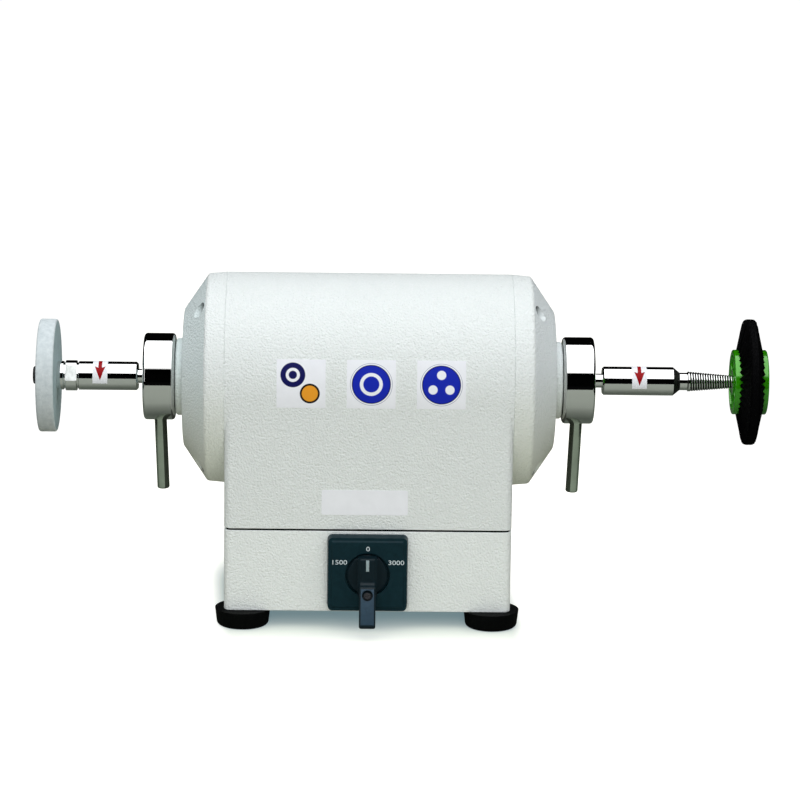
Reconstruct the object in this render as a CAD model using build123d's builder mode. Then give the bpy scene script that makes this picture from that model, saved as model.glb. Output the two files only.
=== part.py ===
"""Bench polishing lathe with two speeds and quick-change spindles, in millimetres.

X runs along the shaft to the right, Y to the back and Z up from the bench.
The origin lies on the bench, under the middle of the motor housing.
"""

import os
from math import atan2, cos, degrees, radians, sin

from build123d import *

os.makedirs("parts", exist_ok=True)

# Heights, from the bench up
axis_height = 173.5
foot_height = 12.9
base_height = 61.7
gasket_thickness = 1.5

# Fits between pieces
seat_play = 0.1
screw_play = 0.1
running_play = 0.05
slide_play = 0.3

# Motor housing: a barrel on a pedestal, in one casting
housing_length = 214.0
housing_radius = 80.0
corner_radius = 5.5
seam_round = 0.6
shell_wall = 14.9
pedestal_wall = 8.0
barrel_wall = 10.0

# End bells, measured outwards from the ends of the housing
skirt_length = 14.6
skirt_draft = 1.2
joint_chamfer = 0.6
cone_length = 18.2
face_radius = 52.0
cone_round = 3.0
boss_radius = 29.3
boss_length = 6.2
boss_round = 2.0
nose_radius = 22.0
nose_length = 17.0
bell_wall = 8.0
spigot_length = 5.0
spigot_wall = 7.0
bell_screw_inset = 9.3
bell_screw_angle = 57.0
bell_pocket_radius = 5.7
bell_flange = 5.0
bell_screw_radius = 3.0
bell_screw_head_radius = 5.0
bell_screw_head = 6.0
bell_screw_reach = 12.0

# Ball bearings
bearing_radius = 23.5
bearing_bore = 10.0
bearing_width = 14.0
bearing_land = 3.8
bearing_floor = 2.2
bearing_overlap = 4.0
bearing_hub_wall = 7.5
preload_height = 1.6
preload_blade = 0.6
preload_rim = 4.0
ball_count = 8
ball_radius = 3.9
cage_width = 10.0
cage_thickness = 4.4

# Shaft seals
seal_radius = 14.0
seal_width = 6.0
seal_wall = 1.6
seal_case = 2.0

# Shaft
core_radius = 14.0
shoulder_radius = 12.5
journal_radius = 8.5
journal_room = 1.0
neck_radius = 5.4
taper_tip_radius = 4.2
taper_length = 38.0
taper_end_room = 2.0

# Stator and rotor
stator_bore = 38.0
stator_length = 80.0
slot_count = 24
slot_width = 5.0
slot_depth = 13.0
slot_mouth = 2.2
tooth_tip = 3.0
coil_play = 0.3
end_turn_length = 22.0
end_turn_height = 16.0
end_turn_round = 4.0
coil_tail = 1.0
air_gap = 0.5
end_ring_width = 10.0
end_ring_height = 12.0

# Ejector rings with their levers
ring_gap = 0.7
ring_radius = 32.9
ring_width = 23.6
ring_round = 2.5
lever_radius = 4.7
lever_reach = 87.4
lever_depth = 8.0
lever_lean = 2.2
lever_round = 1.5
washer_thickness = 2.0
washer_radius = 13.5
washer_room = 0.6
collar_wall = 1.0
collar_reach = 1.5

# Spindles
spindle_radius = 10.85
spindle_edge = 0.8
left_spindle_gap = 4.5
right_spindle_gap = 6.9

# Left spindle with the polishing wheel
left_sleeve_length = 45.2
groove_width = 1.2
groove_depth = 1.2
flat_ring_width = 8.7
flat_ring_radius = 11.5
flat_half_width = 9.6
flat_tilt = 25.0
collar_width = 5.0
wheel_radius = 43.0
wheel_width = 13.5
wheel_round = 1.5
pilot_radius = 5.0
pilot_room = 1.5
wheel_screw_radius = 2.5
wheel_screw_head_radius = 6.8
wheel_screw_head = 5.0
wheel_screw_reach = 9.0
wheel_screw_key = 5.0

# Right spindle with the tapered screw for brushes
right_sleeve_length = 55.6
shoulder_cone = 3.4
waist_radius = 6.6
waist_length = 5.6
screw_root_radius = 7.6
screw_tip_radius = 2.7
screw_length = 60.2
screw_lead_in = 0.8

# Brush
brush_seat = 33.7
brush_hub_radius = 24.6
brush_hub_width = 25.6
brush_hub_rim = 3.8
brush_hub_core = 10.0
brush_hub_dish = 3.0
bristle_radius = 48.4
bristle_root_width = 19.8
bristle_tip_width = 8.0
bristle_root_depth = 2.0
bristle_round = 1.6

# Base box
base_wall = 5.0
base_deck = 6.0
deck_window_length = 96.0
deck_window_depth = 84.0
cover_thickness = 2.5
housing_bolt_spacing = 130.0
housing_bolt_inset = 17.5
housing_bolt_radius = 3.0
housing_bolt_head_radius = 5.0
housing_bolt_head = 6.0
housing_bolt_reach = 22.0
housing_boss_radius = 11.0
housing_boss_height = 30.0
gasket_inset = 1.6
gasket_width = 26.0

# Feet
foot_radius = 20.7
foot_draft = 1.5
foot_round = 3.0
foot_side_inset = 13.9
foot_back_side_inset = 16.6
foot_front_inset = 10.0
foot_pocket_radius = 8.0
foot_pocket_depth = 7.5
foot_screw_radius = 4.0
foot_screw_head_radius = 6.5
foot_screw_head = 5.0
foot_screw_reach = 18.0
foot_boss_radius = 9.5
foot_boss_height = 24.0

# Hexagon sockets of the cap screws
socket_radius = 2.6
socket_depth = 3.0

# Speed switch
switch_lift = 0.25
plate_width = 60.0
plate_height = 57.4
plate_corner = 4.0
plate_thickness = 10.0
plate_draft = 0.7
plate_border = 2.0
plate_raise = 1.1
plate_pocket_size = 46.0
plate_pocket_depth = 2.6
switch_body_size = 45.0
switch_body_depth = 42.0
switch_deck_count = 3
switch_deck_gap = 1.2
switch_deck_groove = 1.5
switch_bush_radius = 10.0
switch_screw_spacing = 36.0
switch_screw_radius = 1.9
switch_screw_head_radius = 3.4
switch_screw_head = 1.8
switch_screw_reach = 8.0
switch_stem = 6.0
switch_stem_room = 0.8
switch_stem_depth = 30.0
knob_radius = 15.0
knob_gap = 1.7
knob_recess = 4.5
knob_edge = 0.6
stem_grip = 3.0

# Pistol grip of the switch: how far each point stands off the plate, and its height from the axis
hub_width = 14.6
hub_reach = 6.4
grip_width = 12.2
grip_round = 1.6
grip_top = 14.6
grip_face_reach = 7.2
grip_step_height = -5.2
grip_heel_reach = 12.0
grip_heel_height = -6.2
grip_tip_reach = 25.0
grip_tip_height = -33.6
grip_toe_reach = 19.0
grip_toe_height = -36.1
grip_root_reach = 9.0
grip_root_height = -15.0
grip_bend_round = 3.5
grip_tip_round = 2.2
grip_pit_place = 0.2
grip_pit_radius = 4.0
grip_pit_depth = 3.4
grip_screw_radius = 2.7
grip_screw_head = 1.8
grip_screw_shank = 1.5
grip_screw_reach = 4.0

# Electrical parts in the base
capacitor_radius = 18.0
capacitor_length = 78.0
capacitor_side_room = 40.0
capacitor_back_room = 20.0
capacitor_pin_radius = 2.0
capacitor_pin_length = 8.0
capacitor_pin_spacing = 14.0
clamp_width = 16.0
clamp_gauge = 1.5
clamp_foot = 9.0
block_length = 62.0
block_depth = 22.0
block_height = 17.0
block_side_room = 26.0
block_y = -4.0
block_ways = 6
block_screw_radius = 2.6
block_screw_depth = 5.0

# Cable gland in the back wall
gland_side_room = 45.0
gland_height = 40.0
gland_thread_radius = 8.0
gland_hexagon_radius = 12.7
gland_flange = 5.0
gland_thread_length = 14.0
gland_cap_radius = 10.5
gland_cap_tip_radius = 7.0
gland_cap_length = 15.0
gland_cap_grip = 6.0
gland_cable_radius = 4.0
gland_nut_width = 4.5

# Places worked out from the sizes above
base_top = foot_height + base_height
pedestal_bottom = base_top + gasket_thickness
housing_end = housing_length / 2
body_depth = 2 * housing_radius
base_front = body_depth / 2
cover_top = foot_height + cover_thickness
deck_bottom = base_top - base_deck
switch_height = foot_height + base_height / 2 + switch_lift
housing_bore = housing_radius - shell_wall
stator_radius = housing_bore - seat_play
bell_screw_circle = housing_radius - bell_screw_inset
skirt_end = housing_end + skirt_length
bell_face = skirt_end + cone_length
boss_end = bell_face + boss_length
nose_end = boss_end + nose_length
bell_seat = housing_end + bell_flange
seat_shoulder = bell_face - bearing_floor
bearing_outer_face = seat_shoulder - preload_height
bearing_inner_face = bearing_outer_face - bearing_width
bearing_middle = (bearing_outer_face + bearing_inner_face) / 2
ball_pitch = (bearing_radius + bearing_bore) / 2
seal_inner_face = nose_end - seal_width
ring_start = boss_end + ring_gap
ring_end = ring_start + ring_width
ring_middle = (ring_start + ring_end) / 2
washer_start = nose_end + slide_play
washer_end = washer_start + washer_thickness
ring_floor = washer_end + slide_play
washer_bore = neck_radius + washer_room
collar_radius = washer_bore + collar_wall
left_mouth = ring_end + left_spindle_gap
right_mouth = ring_end + right_spindle_gap
slot_start = stator_bore + tooth_tip
gland_x = housing_end - gland_side_room
block_x = housing_end - block_side_room - block_length / 2
capacitor_x = capacitor_side_room - housing_end + capacitor_length / 2
capacitor_y = base_front - capacitor_back_room - capacitor_radius
foot_y = body_depth / 2 - foot_front_inset
foot_rows = {
    "front": (housing_end - foot_side_inset, -foot_y),
    "back": (housing_end - foot_back_side_inset, foot_y),
}
housing_bolt_spacing_y = body_depth - 2 * housing_bolt_inset

sides = {"left": -1, "right": 1}
foot_corners = [(side * x, y) for x, y in foot_rows.values() for side in sides.values()]
shaft_axis = Axis((0, 0, axis_height), (1, 0, 0))
on_top = (Align.CENTER, Align.CENTER, Align.MIN)
below = (Align.CENTER, Align.CENTER, Align.MAX)


def shaft_plane(side):
    """Plane through the shaft: local x runs outwards on that side, local y is the radius."""
    return Plane(origin=(0, 0, axis_height), x_dir=(side, 0, 0), z_dir=(0, -side, 0))


def cross_plane(side, distance):
    """Plane square to the shaft, facing outwards, with its local x towards the front."""
    return Plane(origin=(side * distance, 0, axis_height), x_dir=(0, -1, 0), z_dir=(side, 0, 0))


def around(plane, radius, count, start=0.0):
    """Places on a circle about the middle of a plane."""
    return [plane.location * place for place in PolarLocations(radius, count, start)]


def grid(height, spacing_x, spacing_y, facing=1):
    """Four places at one height, on the corners of a rectangle, facing up or down."""
    plane = Plane(origin=(0, 0, height), x_dir=(1, 0, 0), z_dir=(0, 0, facing))
    return [plane.location * place for place in GridLocations(spacing_x, spacing_y, 2, 2)]


def foot_places(height, facing=1):
    """Where the four feet stand, at one height, facing up or down."""
    plane = Plane(origin=(0, 0, height), x_dir=(1, 0, 0), z_dir=(0, 0, facing))
    return [plane.location * Location((x, facing * y, 0)) for x, y in foot_corners]


def save(name, piece):
    """Label a finished piece and write it under its own name."""
    piece.part.label = name
    export_step(piece.part, f"parts/{name}.step")


def turned(side, *outline):
    """A piece turned about the shaft from an outline of distances outwards and radii."""
    with BuildPart() as piece:
        with BuildSketch(shaft_plane(side)):
            with BuildLine():
                Polyline(*outline, close=True)
            make_face()
        revolve(axis=shaft_axis)
    return piece


def cap_screws(places, radius, reach, head_radius, head_height):
    """Cap screws with hexagon sockets, each seated at a place whose z points to its head."""
    with BuildPart() as screws:
        with Locations(*places):
            Cylinder(radius, reach, align=below)
            Cylinder(head_radius, head_height, align=on_top)
        with BuildSketch(*[Plane(place).offset(head_height) for place in places]):
            RegularPolygon(min(socket_radius, head_radius - 1), 6)
        extrude(amount=-min(socket_depth, head_height / 2), mode=Mode.SUBTRACT)
    return screws


def bell_screw_places(side, distance):
    """Where the four screws of an end bell cross a plane at some distance from the middle."""
    plane = cross_plane(side, distance)
    angles = bell_screw_angle, 180 - bell_screw_angle, 180 + bell_screw_angle, -bell_screw_angle
    return [place for angle in angles for place in around(plane, bell_screw_circle, 1, angle)]


# Motor housing
with BuildPart() as motor_housing:
    with BuildSketch(Plane.XY.offset(pedestal_bottom)):
        RectangleRounded(housing_length, body_depth, corner_radius)
    extrude(amount=axis_height - pedestal_bottom)
    with BuildSketch(Plane.YZ.offset(-housing_end)):
        with Locations((0, axis_height)):
            Circle(housing_radius)
    extrude(amount=housing_length)
    with BuildSketch(Plane.XY.offset(pedestal_bottom)):
        Rectangle(housing_length - 2 * pedestal_wall, body_depth - 2 * pedestal_wall)
    extrude(amount=axis_height - pedestal_bottom, mode=Mode.SUBTRACT)
    with BuildSketch(Plane.YZ.offset(-housing_end)):
        with Locations((0, axis_height)):
            Circle(housing_bore + barrel_wall)
    extrude(amount=housing_length)
    split(bisect_by=Plane.XY.offset(pedestal_bottom), keep=Keep.TOP)
    fillet(motor_housing.faces().sort_by(Axis.Z)[0].outer_wire().edges(), seam_round)
    with Locations(*grid(pedestal_bottom, housing_bolt_spacing, housing_bolt_spacing_y)):
        Cylinder(housing_boss_radius, housing_boss_height, align=on_top)
        Hole(housing_bolt_radius + screw_play, housing_bolt_reach)
    with BuildSketch(Plane.YZ.offset(-housing_end)):
        with Locations((0, axis_height)):
            Circle(housing_bore)
    extrude(amount=housing_length, mode=Mode.SUBTRACT)
    for side in sides.values():
        with Locations(*bell_screw_places(side, housing_end)):
            Hole(bell_screw_radius + screw_play, bell_screw_reach + screw_play)
save("motor_housing", motor_housing)


def make_end_bell(side):
    """Cast end cover: spigot, drafted skirt, conical shoulder, boss and the nose for the ejector."""
    spigot_radius = stator_radius
    spigot_bore = spigot_radius - spigot_wall
    hub_radius = bearing_radius + seat_play + bearing_hub_wall
    slope = (housing_radius - skirt_draft - face_radius) / cone_length
    wall_shift = bell_wall * (1 + slope**2) ** 0.5
    inner_face = bell_face - bell_wall
    inner_radius = face_radius + slope * (bell_face - inner_face) - wall_shift
    inner_end = inner_face - (spigot_bore - inner_radius) / slope
    with BuildPart() as bell:
        with BuildSketch(shaft_plane(side)) as section:
            with BuildLine():
                Polyline(
                    (housing_end - spigot_length, spigot_bore),
                    (housing_end - spigot_length, spigot_radius),
                    (housing_end, spigot_radius),
                    (housing_end, housing_radius - joint_chamfer),
                    (housing_end + joint_chamfer, housing_radius),
                    (skirt_end, housing_radius - skirt_draft),
                    (bell_face, face_radius),
                    (bell_face, boss_radius),
                    (boss_end, boss_radius),
                    (boss_end, nose_radius),
                    (nose_end, nose_radius),
                    (nose_end, seal_radius + seat_play),
                    (seal_inner_face, seal_radius + seat_play),
                    (seal_inner_face, journal_radius + journal_room),
                    (seat_shoulder, journal_radius + journal_room),
                    (seat_shoulder, bearing_radius + seat_play),
                    (bearing_inner_face - bearing_overlap, bearing_radius + seat_play),
                    (bearing_inner_face - bearing_overlap, hub_radius),
                    (inner_face, hub_radius),
                    (inner_face, inner_radius),
                    (inner_end, spigot_bore),
                    close=True,
                )
            make_face()
            shoulders = (skirt_end, housing_radius - skirt_draft), (bell_face, face_radius)
            fillet([section.vertices().sort_by_distance(place)[0] for place in shoulders], cone_round)
            fillet(section.vertices().sort_by_distance((boss_end, boss_radius))[0], boss_round)
        revolve(axis=shaft_axis)
        with Locations(*bell_screw_places(side, bell_face)):
            CounterBoreHole(
                bell_screw_radius + screw_play,
                bell_pocket_radius,
                bell_face - bell_seat,
                bell_face - housing_end + spigot_length,
            )
    return bell


for hand, side in sides.items():
    save(f"{hand}_end_bell", make_end_bell(side))
    save(
        f"{hand}_bell_screws",
        cap_screws(
            bell_screw_places(side, bell_seat),
            bell_screw_radius,
            bell_flange + bell_screw_reach,
            bell_screw_head_radius,
            bell_screw_head,
        ),
    )


# Bearings: outer and inner rings with a ball groove, balls and their cage
def make_bearing_ring(side, inner_radius, outer_radius):
    """One ring of a ball bearing, with the groove that the balls run in."""
    with BuildPart() as ring:
        with BuildSketch(shaft_plane(side)):
            with Locations((bearing_middle, (inner_radius + outer_radius) / 2)):
                Rectangle(bearing_width, outer_radius - inner_radius)
            with Locations((bearing_middle, ball_pitch)):
                Circle(ball_radius + running_play, mode=Mode.SUBTRACT)
        revolve(axis=shaft_axis)
    return ring


def make_balls(side):
    """The set of balls of one bearing."""
    with BuildPart() as balls:
        with Locations(*around(cross_plane(side, bearing_middle), ball_pitch, ball_count)):
            Sphere(ball_radius)
    return balls


def make_cage(side):
    """The cage that keeps the balls of one bearing apart."""
    with BuildPart() as cage:
        with BuildSketch(shaft_plane(side)):
            with Locations((bearing_middle, ball_pitch)):
                Rectangle(cage_width, cage_thickness)
        revolve(axis=shaft_axis)
        with Locations(*around(cross_plane(side, bearing_middle), ball_pitch, ball_count)):
            Cylinder(
                ball_radius + running_play,
                2 * cage_thickness,
                rotation=(0, 90, 0),
                mode=Mode.SUBTRACT,
            )
    return cage


for hand, side in sides.items():
    outer_bore = bearing_radius - bearing_land
    inner_land = bearing_bore + bearing_land
    save(f"{hand}_bearing_outer", make_bearing_ring(side, outer_bore, bearing_radius))
    save(f"{hand}_bearing_inner", make_bearing_ring(side, bearing_bore, inner_land))
    save(f"{hand}_bearing_balls", make_balls(side))
    save(f"{hand}_bearing_cage", make_cage(side))

# Behind the left bearing a plain shim, behind the right one a sprung washer bowed about a crosswise line
preload_bore = bearing_radius - preload_rim
left_bearing_shim = turned(
    sides["left"],
    (bearing_outer_face, preload_bore),
    (seat_shoulder, preload_bore),
    (seat_shoulder, bearing_radius),
    (bearing_outer_face, bearing_radius),
)
save("left_bearing_shim", left_bearing_shim)

bow = preload_height - preload_blade
bow_radius = (bearing_radius**2 + bow**2) / (2 * bow)
with BuildPart() as preload_washer:
    with BuildSketch(Plane.XZ.offset(-bearing_radius)):
        with Locations((seat_shoulder - bow_radius, axis_height)):
            Circle(bow_radius)
            Circle(bow_radius - preload_blade, mode=Mode.SUBTRACT)
    extrude(amount=2 * bearing_radius)
    with BuildSketch(cross_plane(sides["right"], bearing_outer_face)):
        Circle(bearing_radius)
        Circle(preload_bore, mode=Mode.SUBTRACT)
    extrude(amount=preload_height, mode=Mode.INTERSECT)
save("preload_washer", preload_washer)


def make_seal(side):
    """Lip seal pressed into the nose: a stiff case with a lip close to the journal."""
    return turned(
        side,
        (seal_inner_face, seal_radius),
        (nose_end, seal_radius),
        (nose_end, journal_radius + running_play),
        (nose_end - seal_case, journal_radius + running_play),
        (nose_end - seal_case, seal_radius - seal_wall),
        (seal_inner_face, seal_radius - seal_wall),
    )


for hand, side in sides.items():
    save(f"{hand}_shaft_seal", make_seal(side))


# Shaft: one bar turned down in steps to the tapered ends that hold the spindles
def shaft_half(side, mouth):
    """Outline of one end of the shaft, from the middle outwards."""
    steps = [
        (stator_length / 2 + end_ring_width, core_radius),
        (stator_length / 2 + end_ring_width, shoulder_radius),
        (bearing_inner_face, shoulder_radius),
        (bearing_inner_face, bearing_bore - running_play),
        (bearing_outer_face, bearing_bore - running_play),
        (bearing_outer_face, journal_radius),
        (nose_end - running_play, journal_radius),
        (nose_end - running_play, neck_radius),
        (mouth, neck_radius),
        (mouth + taper_length, taper_tip_radius),
        (mouth + taper_length, 0),
    ]
    return [(side * distance, radius) for distance, radius in steps]


shaft = turned(
    sides["right"],
    *shaft_half(sides["right"], right_mouth),
    *reversed(shaft_half(sides["left"], left_mouth)),
)
save("shaft", shaft)

with BuildPart() as rotor_core:
    with BuildSketch(Plane.YZ.offset(-stator_length / 2)):
        with Locations((0, axis_height)):
            Circle(stator_bore - air_gap)
            Circle(core_radius + running_play, mode=Mode.SUBTRACT)
    extrude(amount=stator_length)
save("rotor_core", rotor_core)

ring_outer = stator_bore - air_gap - running_play
with BuildPart() as rotor_end_rings:
    for side in sides.values():
        with BuildSketch(cross_plane(side, stator_length / 2)):
            Circle(ring_outer)
            Circle(ring_outer - end_ring_height, mode=Mode.SUBTRACT)
        extrude(amount=end_ring_width)
save("rotor_end_rings", rotor_end_rings)

# Stator: slotted core with the coils in its slots and their end turns
slot_middle = slot_start + slot_depth / 2
with BuildPart() as stator_core:
    with BuildSketch(Plane.YZ.offset(-stator_length / 2)):
        with Locations((0, axis_height)):
            Circle(stator_radius)
            Circle(stator_bore, mode=Mode.SUBTRACT)
            with PolarLocations(slot_middle, slot_count):
                Rectangle(slot_depth, slot_width, mode=Mode.SUBTRACT)
            with PolarLocations(stator_bore, slot_count):
                Rectangle(2 * tooth_tip + slot_depth / 2, slot_mouth, mode=Mode.SUBTRACT)
    extrude(amount=stator_length)
save("stator_core", stator_core)

with BuildPart() as stator_winding:
    with BuildSketch(shaft_plane(sides["right"])) as end_turns:
        with GridLocations(stator_length + end_turn_length, 0, 2, 1):
            with Locations((0, slot_start + end_turn_height / 2)):
                Rectangle(end_turn_length, end_turn_height)
        turns = end_turns.vertices().group_by(Axis.X)
        fillet(turns[0] + turns[-1], end_turn_round)
    revolve(axis=shaft_axis)
    with BuildSketch(Plane.YZ.offset(-stator_length / 2 - coil_tail)):
        with Locations((0, axis_height)):
            with PolarLocations(slot_middle, slot_count):
                Rectangle(slot_depth - 2 * coil_play, slot_width - 2 * coil_play)
    extrude(amount=stator_length + 2 * coil_tail)
save("stator_winding", stator_winding)


# Ejectors: a ring that screws out along the nose, its lever, and the washer that meets the spindle
def lever_plane(side):
    """Plane at the bottom of the lever's hole, facing down along the leaning lever."""
    lean = radians(lever_lean)
    direction = (-side * sin(lean), 0, -cos(lean))
    depth = ring_radius - lever_depth
    return Plane(
        origin=(side * ring_middle, 0, axis_height - depth), x_dir=(0, 1, 0), z_dir=direction
    )


def make_ejector_ring(side):
    """Ejector ring: open towards the end bell, with a web at its outer end."""
    with BuildPart() as ring:
        with BuildSketch(shaft_plane(side)) as section:
            with BuildLine():
                Polyline(
                    (ring_start, nose_radius + slide_play),
                    (ring_start, ring_radius),
                    (ring_end, ring_radius),
                    (ring_end, collar_radius + slide_play),
                    (ring_floor, collar_radius + slide_play),
                    (ring_floor, nose_radius + slide_play),
                    close=True,
                )
            make_face()
            rims = (ring_start, ring_radius), (ring_end, ring_radius)
            fillet([section.vertices().sort_by_distance(place)[0] for place in rims], ring_round)
        revolve(axis=shaft_axis)
        with Locations(lever_plane(side)):
            Cylinder(lever_radius + seat_play, lever_reach, align=on_top, mode=Mode.SUBTRACT)
    return ring


def make_lever(side):
    """Round lever screwed into the ejector ring, with a softened end."""
    with BuildPart() as lever:
        with BuildSketch(lever_plane(side)):
            Circle(lever_radius)
        extrude(amount=lever_reach - ring_radius + lever_depth)
        fillet(lever.edges().filter_by(GeomType.CIRCLE).sort_by(Axis.Z)[0], lever_round)
    return lever


def make_thrust_washer(side):
    """Flanged washer inside the ring, with a collar that stands out round the shaft."""
    return turned(
        side,
        (washer_start, washer_bore),
        (washer_start, washer_radius),
        (washer_end, washer_radius),
        (washer_end, collar_radius),
        (ring_end + collar_reach, collar_radius),
        (ring_end + collar_reach, washer_bore),
    )


for hand, side in sides.items():
    save(f"{hand}_ejector_ring", make_ejector_ring(side))
    save(f"{hand}_ejector_lever", make_lever(side))
    save(f"{hand}_thrust_washer", make_thrust_washer(side))


# Left spindle: sleeve, ring with two spanner flats, collar and the pilot of the wheel
def spindle_socket(mouth):
    """Outline of the tapered hole of a spindle, from its bottom to its mouth."""
    bottom = mouth + taper_length + taper_end_room
    return [
        (bottom, 0),
        (bottom, taper_tip_radius + running_play),
        (mouth + taper_length, taper_tip_radius + running_play),
        (mouth, neck_radius + running_play),
    ]


left_sleeve_end = left_mouth + left_sleeve_length
flat_ring_start = left_sleeve_end + groove_width
flat_ring_end = flat_ring_start + flat_ring_width
collar_start = flat_ring_end + groove_width
wheel_start = collar_start + collar_width
wheel_end = wheel_start + wheel_width
pilot_end = wheel_end - pilot_room
groove_radius = spindle_radius - groove_depth

with BuildPart() as left_spindle:
    with BuildSketch(shaft_plane(sides["left"])):
        with BuildLine():
            Polyline(
                *spindle_socket(left_mouth),
                (left_mouth, spindle_radius - spindle_edge),
                (left_mouth + spindle_edge, spindle_radius),
                (left_sleeve_end, spindle_radius),
                (left_sleeve_end, groove_radius),
                (flat_ring_start, groove_radius),
                (flat_ring_start, flat_ring_radius - spindle_edge),
                (flat_ring_start + spindle_edge, flat_ring_radius),
                (flat_ring_end - spindle_edge, flat_ring_radius),
                (flat_ring_end, flat_ring_radius - spindle_edge),
                (flat_ring_end, groove_radius),
                (collar_start, groove_radius),
                (collar_start, spindle_radius),
                (wheel_start, spindle_radius),
                (wheel_start, pilot_radius),
                (pilot_end, pilot_radius),
                (pilot_end, 0),
                close=True,
            )
        make_face()
    revolve(axis=shaft_axis)
    with BuildSketch(cross_plane(sides["left"], flat_ring_start)):
        with PolarLocations(flat_half_width + flat_ring_radius / 2, 2, flat_tilt):
            Rectangle(flat_ring_radius, 2 * flat_ring_radius)
    extrude(amount=flat_ring_width, mode=Mode.SUBTRACT)
    with Locations(cross_plane(sides["left"], pilot_end)):
        Hole(wheel_screw_radius + screw_play, wheel_screw_reach)
save("left_spindle", left_spindle)

with BuildPart() as polishing_wheel:
    with BuildSketch(cross_plane(sides["left"], wheel_start)):
        Circle(wheel_radius)
        Circle(pilot_radius + seat_play, mode=Mode.SUBTRACT)
    extrude(amount=wheel_width)
    fillet(polishing_wheel.edges().filter_by(GeomType.CIRCLE).group_by(SortBy.RADIUS)[-1], wheel_round)
save("polishing_wheel", polishing_wheel)

with BuildPart() as wheel_screw:
    with Locations(cross_plane(sides["left"], wheel_end)):
        Cylinder(wheel_screw_head_radius, wheel_screw_head, align=on_top)
        Cylinder(wheel_screw_radius, pilot_room + wheel_screw_reach - screw_play, align=below)
    fillet(wheel_screw.edges().filter_by(GeomType.CIRCLE).sort_by(Axis.X)[0], wheel_screw_head / 3)
    with BuildSketch(cross_plane(sides["left"], wheel_end + wheel_screw_head)):
        RegularPolygon(wheel_screw_key / 2, 6, major_radius=False)
    extrude(amount=-wheel_screw_head / 2, mode=Mode.SUBTRACT)
save("wheel_screw", wheel_screw)

# Right spindle: sleeve, waist and the long tapered screw
right_sleeve_end = right_mouth + right_sleeve_length
waist_start = right_sleeve_end + shoulder_cone
screw_start = waist_start + waist_length + screw_lead_in
screw_end = screw_start + screw_length
right_spindle = turned(
    sides["right"],
    *spindle_socket(right_mouth),
    (right_mouth, spindle_radius - spindle_edge),
    (right_mouth + spindle_edge, spindle_radius),
    (right_sleeve_end, spindle_radius),
    (waist_start, waist_radius),
    (waist_start + waist_length, waist_radius),
    (screw_start, screw_root_radius),
    (screw_end, screw_tip_radius),
    (screw_end, 0),
)
save("right_spindle", right_spindle)

# Brush: a dished hub that screws on the taper, and the bristles set in its rim
brush_start = screw_start + brush_seat
brush_end = brush_start + brush_hub_width
brush_middle = (brush_start + brush_end) / 2
screw_slope = (screw_root_radius - screw_tip_radius) / screw_length


def hub_bore(distance):
    """Radius of the hub's tapered hole at some distance along the shaft."""
    return screw_root_radius - screw_slope * (distance - screw_start) + seat_play


dish_radius = brush_hub_radius - brush_hub_rim
brush_hub = turned(
    sides["right"],
    (brush_start, hub_bore(brush_start)),
    (brush_start, brush_hub_core),
    (brush_start + brush_hub_dish, brush_hub_core),
    (brush_start + brush_hub_dish, dish_radius),
    (brush_start, dish_radius),
    (brush_start, brush_hub_radius),
    (brush_middle - bristle_root_width / 2, brush_hub_radius),
    (brush_middle - bristle_root_width / 2, brush_hub_radius - bristle_root_depth),
    (brush_middle + bristle_root_width / 2, brush_hub_radius - bristle_root_depth),
    (brush_middle + bristle_root_width / 2, brush_hub_radius),
    (brush_end, brush_hub_radius),
    (brush_end, dish_radius),
    (brush_end - brush_hub_dish, dish_radius),
    (brush_end - brush_hub_dish, brush_hub_core),
    (brush_end, brush_hub_core),
    (brush_end, hub_bore(brush_end)),
)
save("brush_hub", brush_hub)

with BuildPart() as brush_bristles:
    with BuildSketch(shaft_plane(sides["right"])) as tuft:
        with BuildLine():
            root = bristle_root_width / 2 - seat_play
            floor = brush_hub_radius - bristle_root_depth + seat_play
            Polyline(
                (brush_middle - root, floor),
                (brush_middle - root, brush_hub_radius),
                (brush_middle - bristle_tip_width / 2, bristle_radius),
                (brush_middle + bristle_tip_width / 2, bristle_radius),
                (brush_middle + root, brush_hub_radius),
                (brush_middle + root, floor),
                close=True,
            )
        make_face()
        fillet(tuft.vertices().group_by(Axis.Y)[-1], bristle_round)
    revolve(axis=shaft_axis)
save("brush_bristles", brush_bristles)

# Base box with its deck, bosses for the feet, switch opening and cable hole
gland_plane = Plane(origin=(gland_x, base_front, gland_height), x_dir=(-1, 0, 0), z_dir=(0, 1, 0))
switch_plane = Plane(origin=(0, -base_front, switch_height), x_dir=(1, 0, 0), z_dir=(0, -1, 0))
switch_screw_places = [
    switch_plane.location * place
    for place in GridLocations(switch_screw_spacing, switch_screw_spacing, 2, 2)
]
with BuildPart() as base_box:
    with BuildSketch(Plane.XY.offset(foot_height)):
        RectangleRounded(housing_length, body_depth, corner_radius)
    extrude(amount=base_height)
    fillet(base_box.edges().filter_by(Plane.XY), seam_round)
    with BuildSketch(Plane.XY.offset(foot_height)):
        Rectangle(housing_length - 2 * base_wall, body_depth - 2 * base_wall)
    extrude(amount=base_height - base_deck, mode=Mode.SUBTRACT)
    with BuildSketch(Plane.XY.offset(base_top)):
        Rectangle(deck_window_length, deck_window_depth)
    extrude(amount=-base_deck, mode=Mode.SUBTRACT)
    with Locations(*foot_places(cover_top)):
        Cylinder(foot_boss_radius, foot_boss_height, align=on_top)
        Hole(foot_screw_radius + screw_play, foot_screw_reach)
    with Locations(*grid(base_top, housing_bolt_spacing, housing_bolt_spacing_y)):
        Hole(housing_bolt_radius + screw_play, base_deck)
    with Locations(switch_plane):
        Hole(switch_bush_radius + seat_play, base_wall)
    with Locations(*switch_screw_places):
        Hole(switch_screw_radius + screw_play, base_wall)
    with Locations(gland_plane):
        Hole(gland_thread_radius + screw_play, base_wall)
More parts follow.
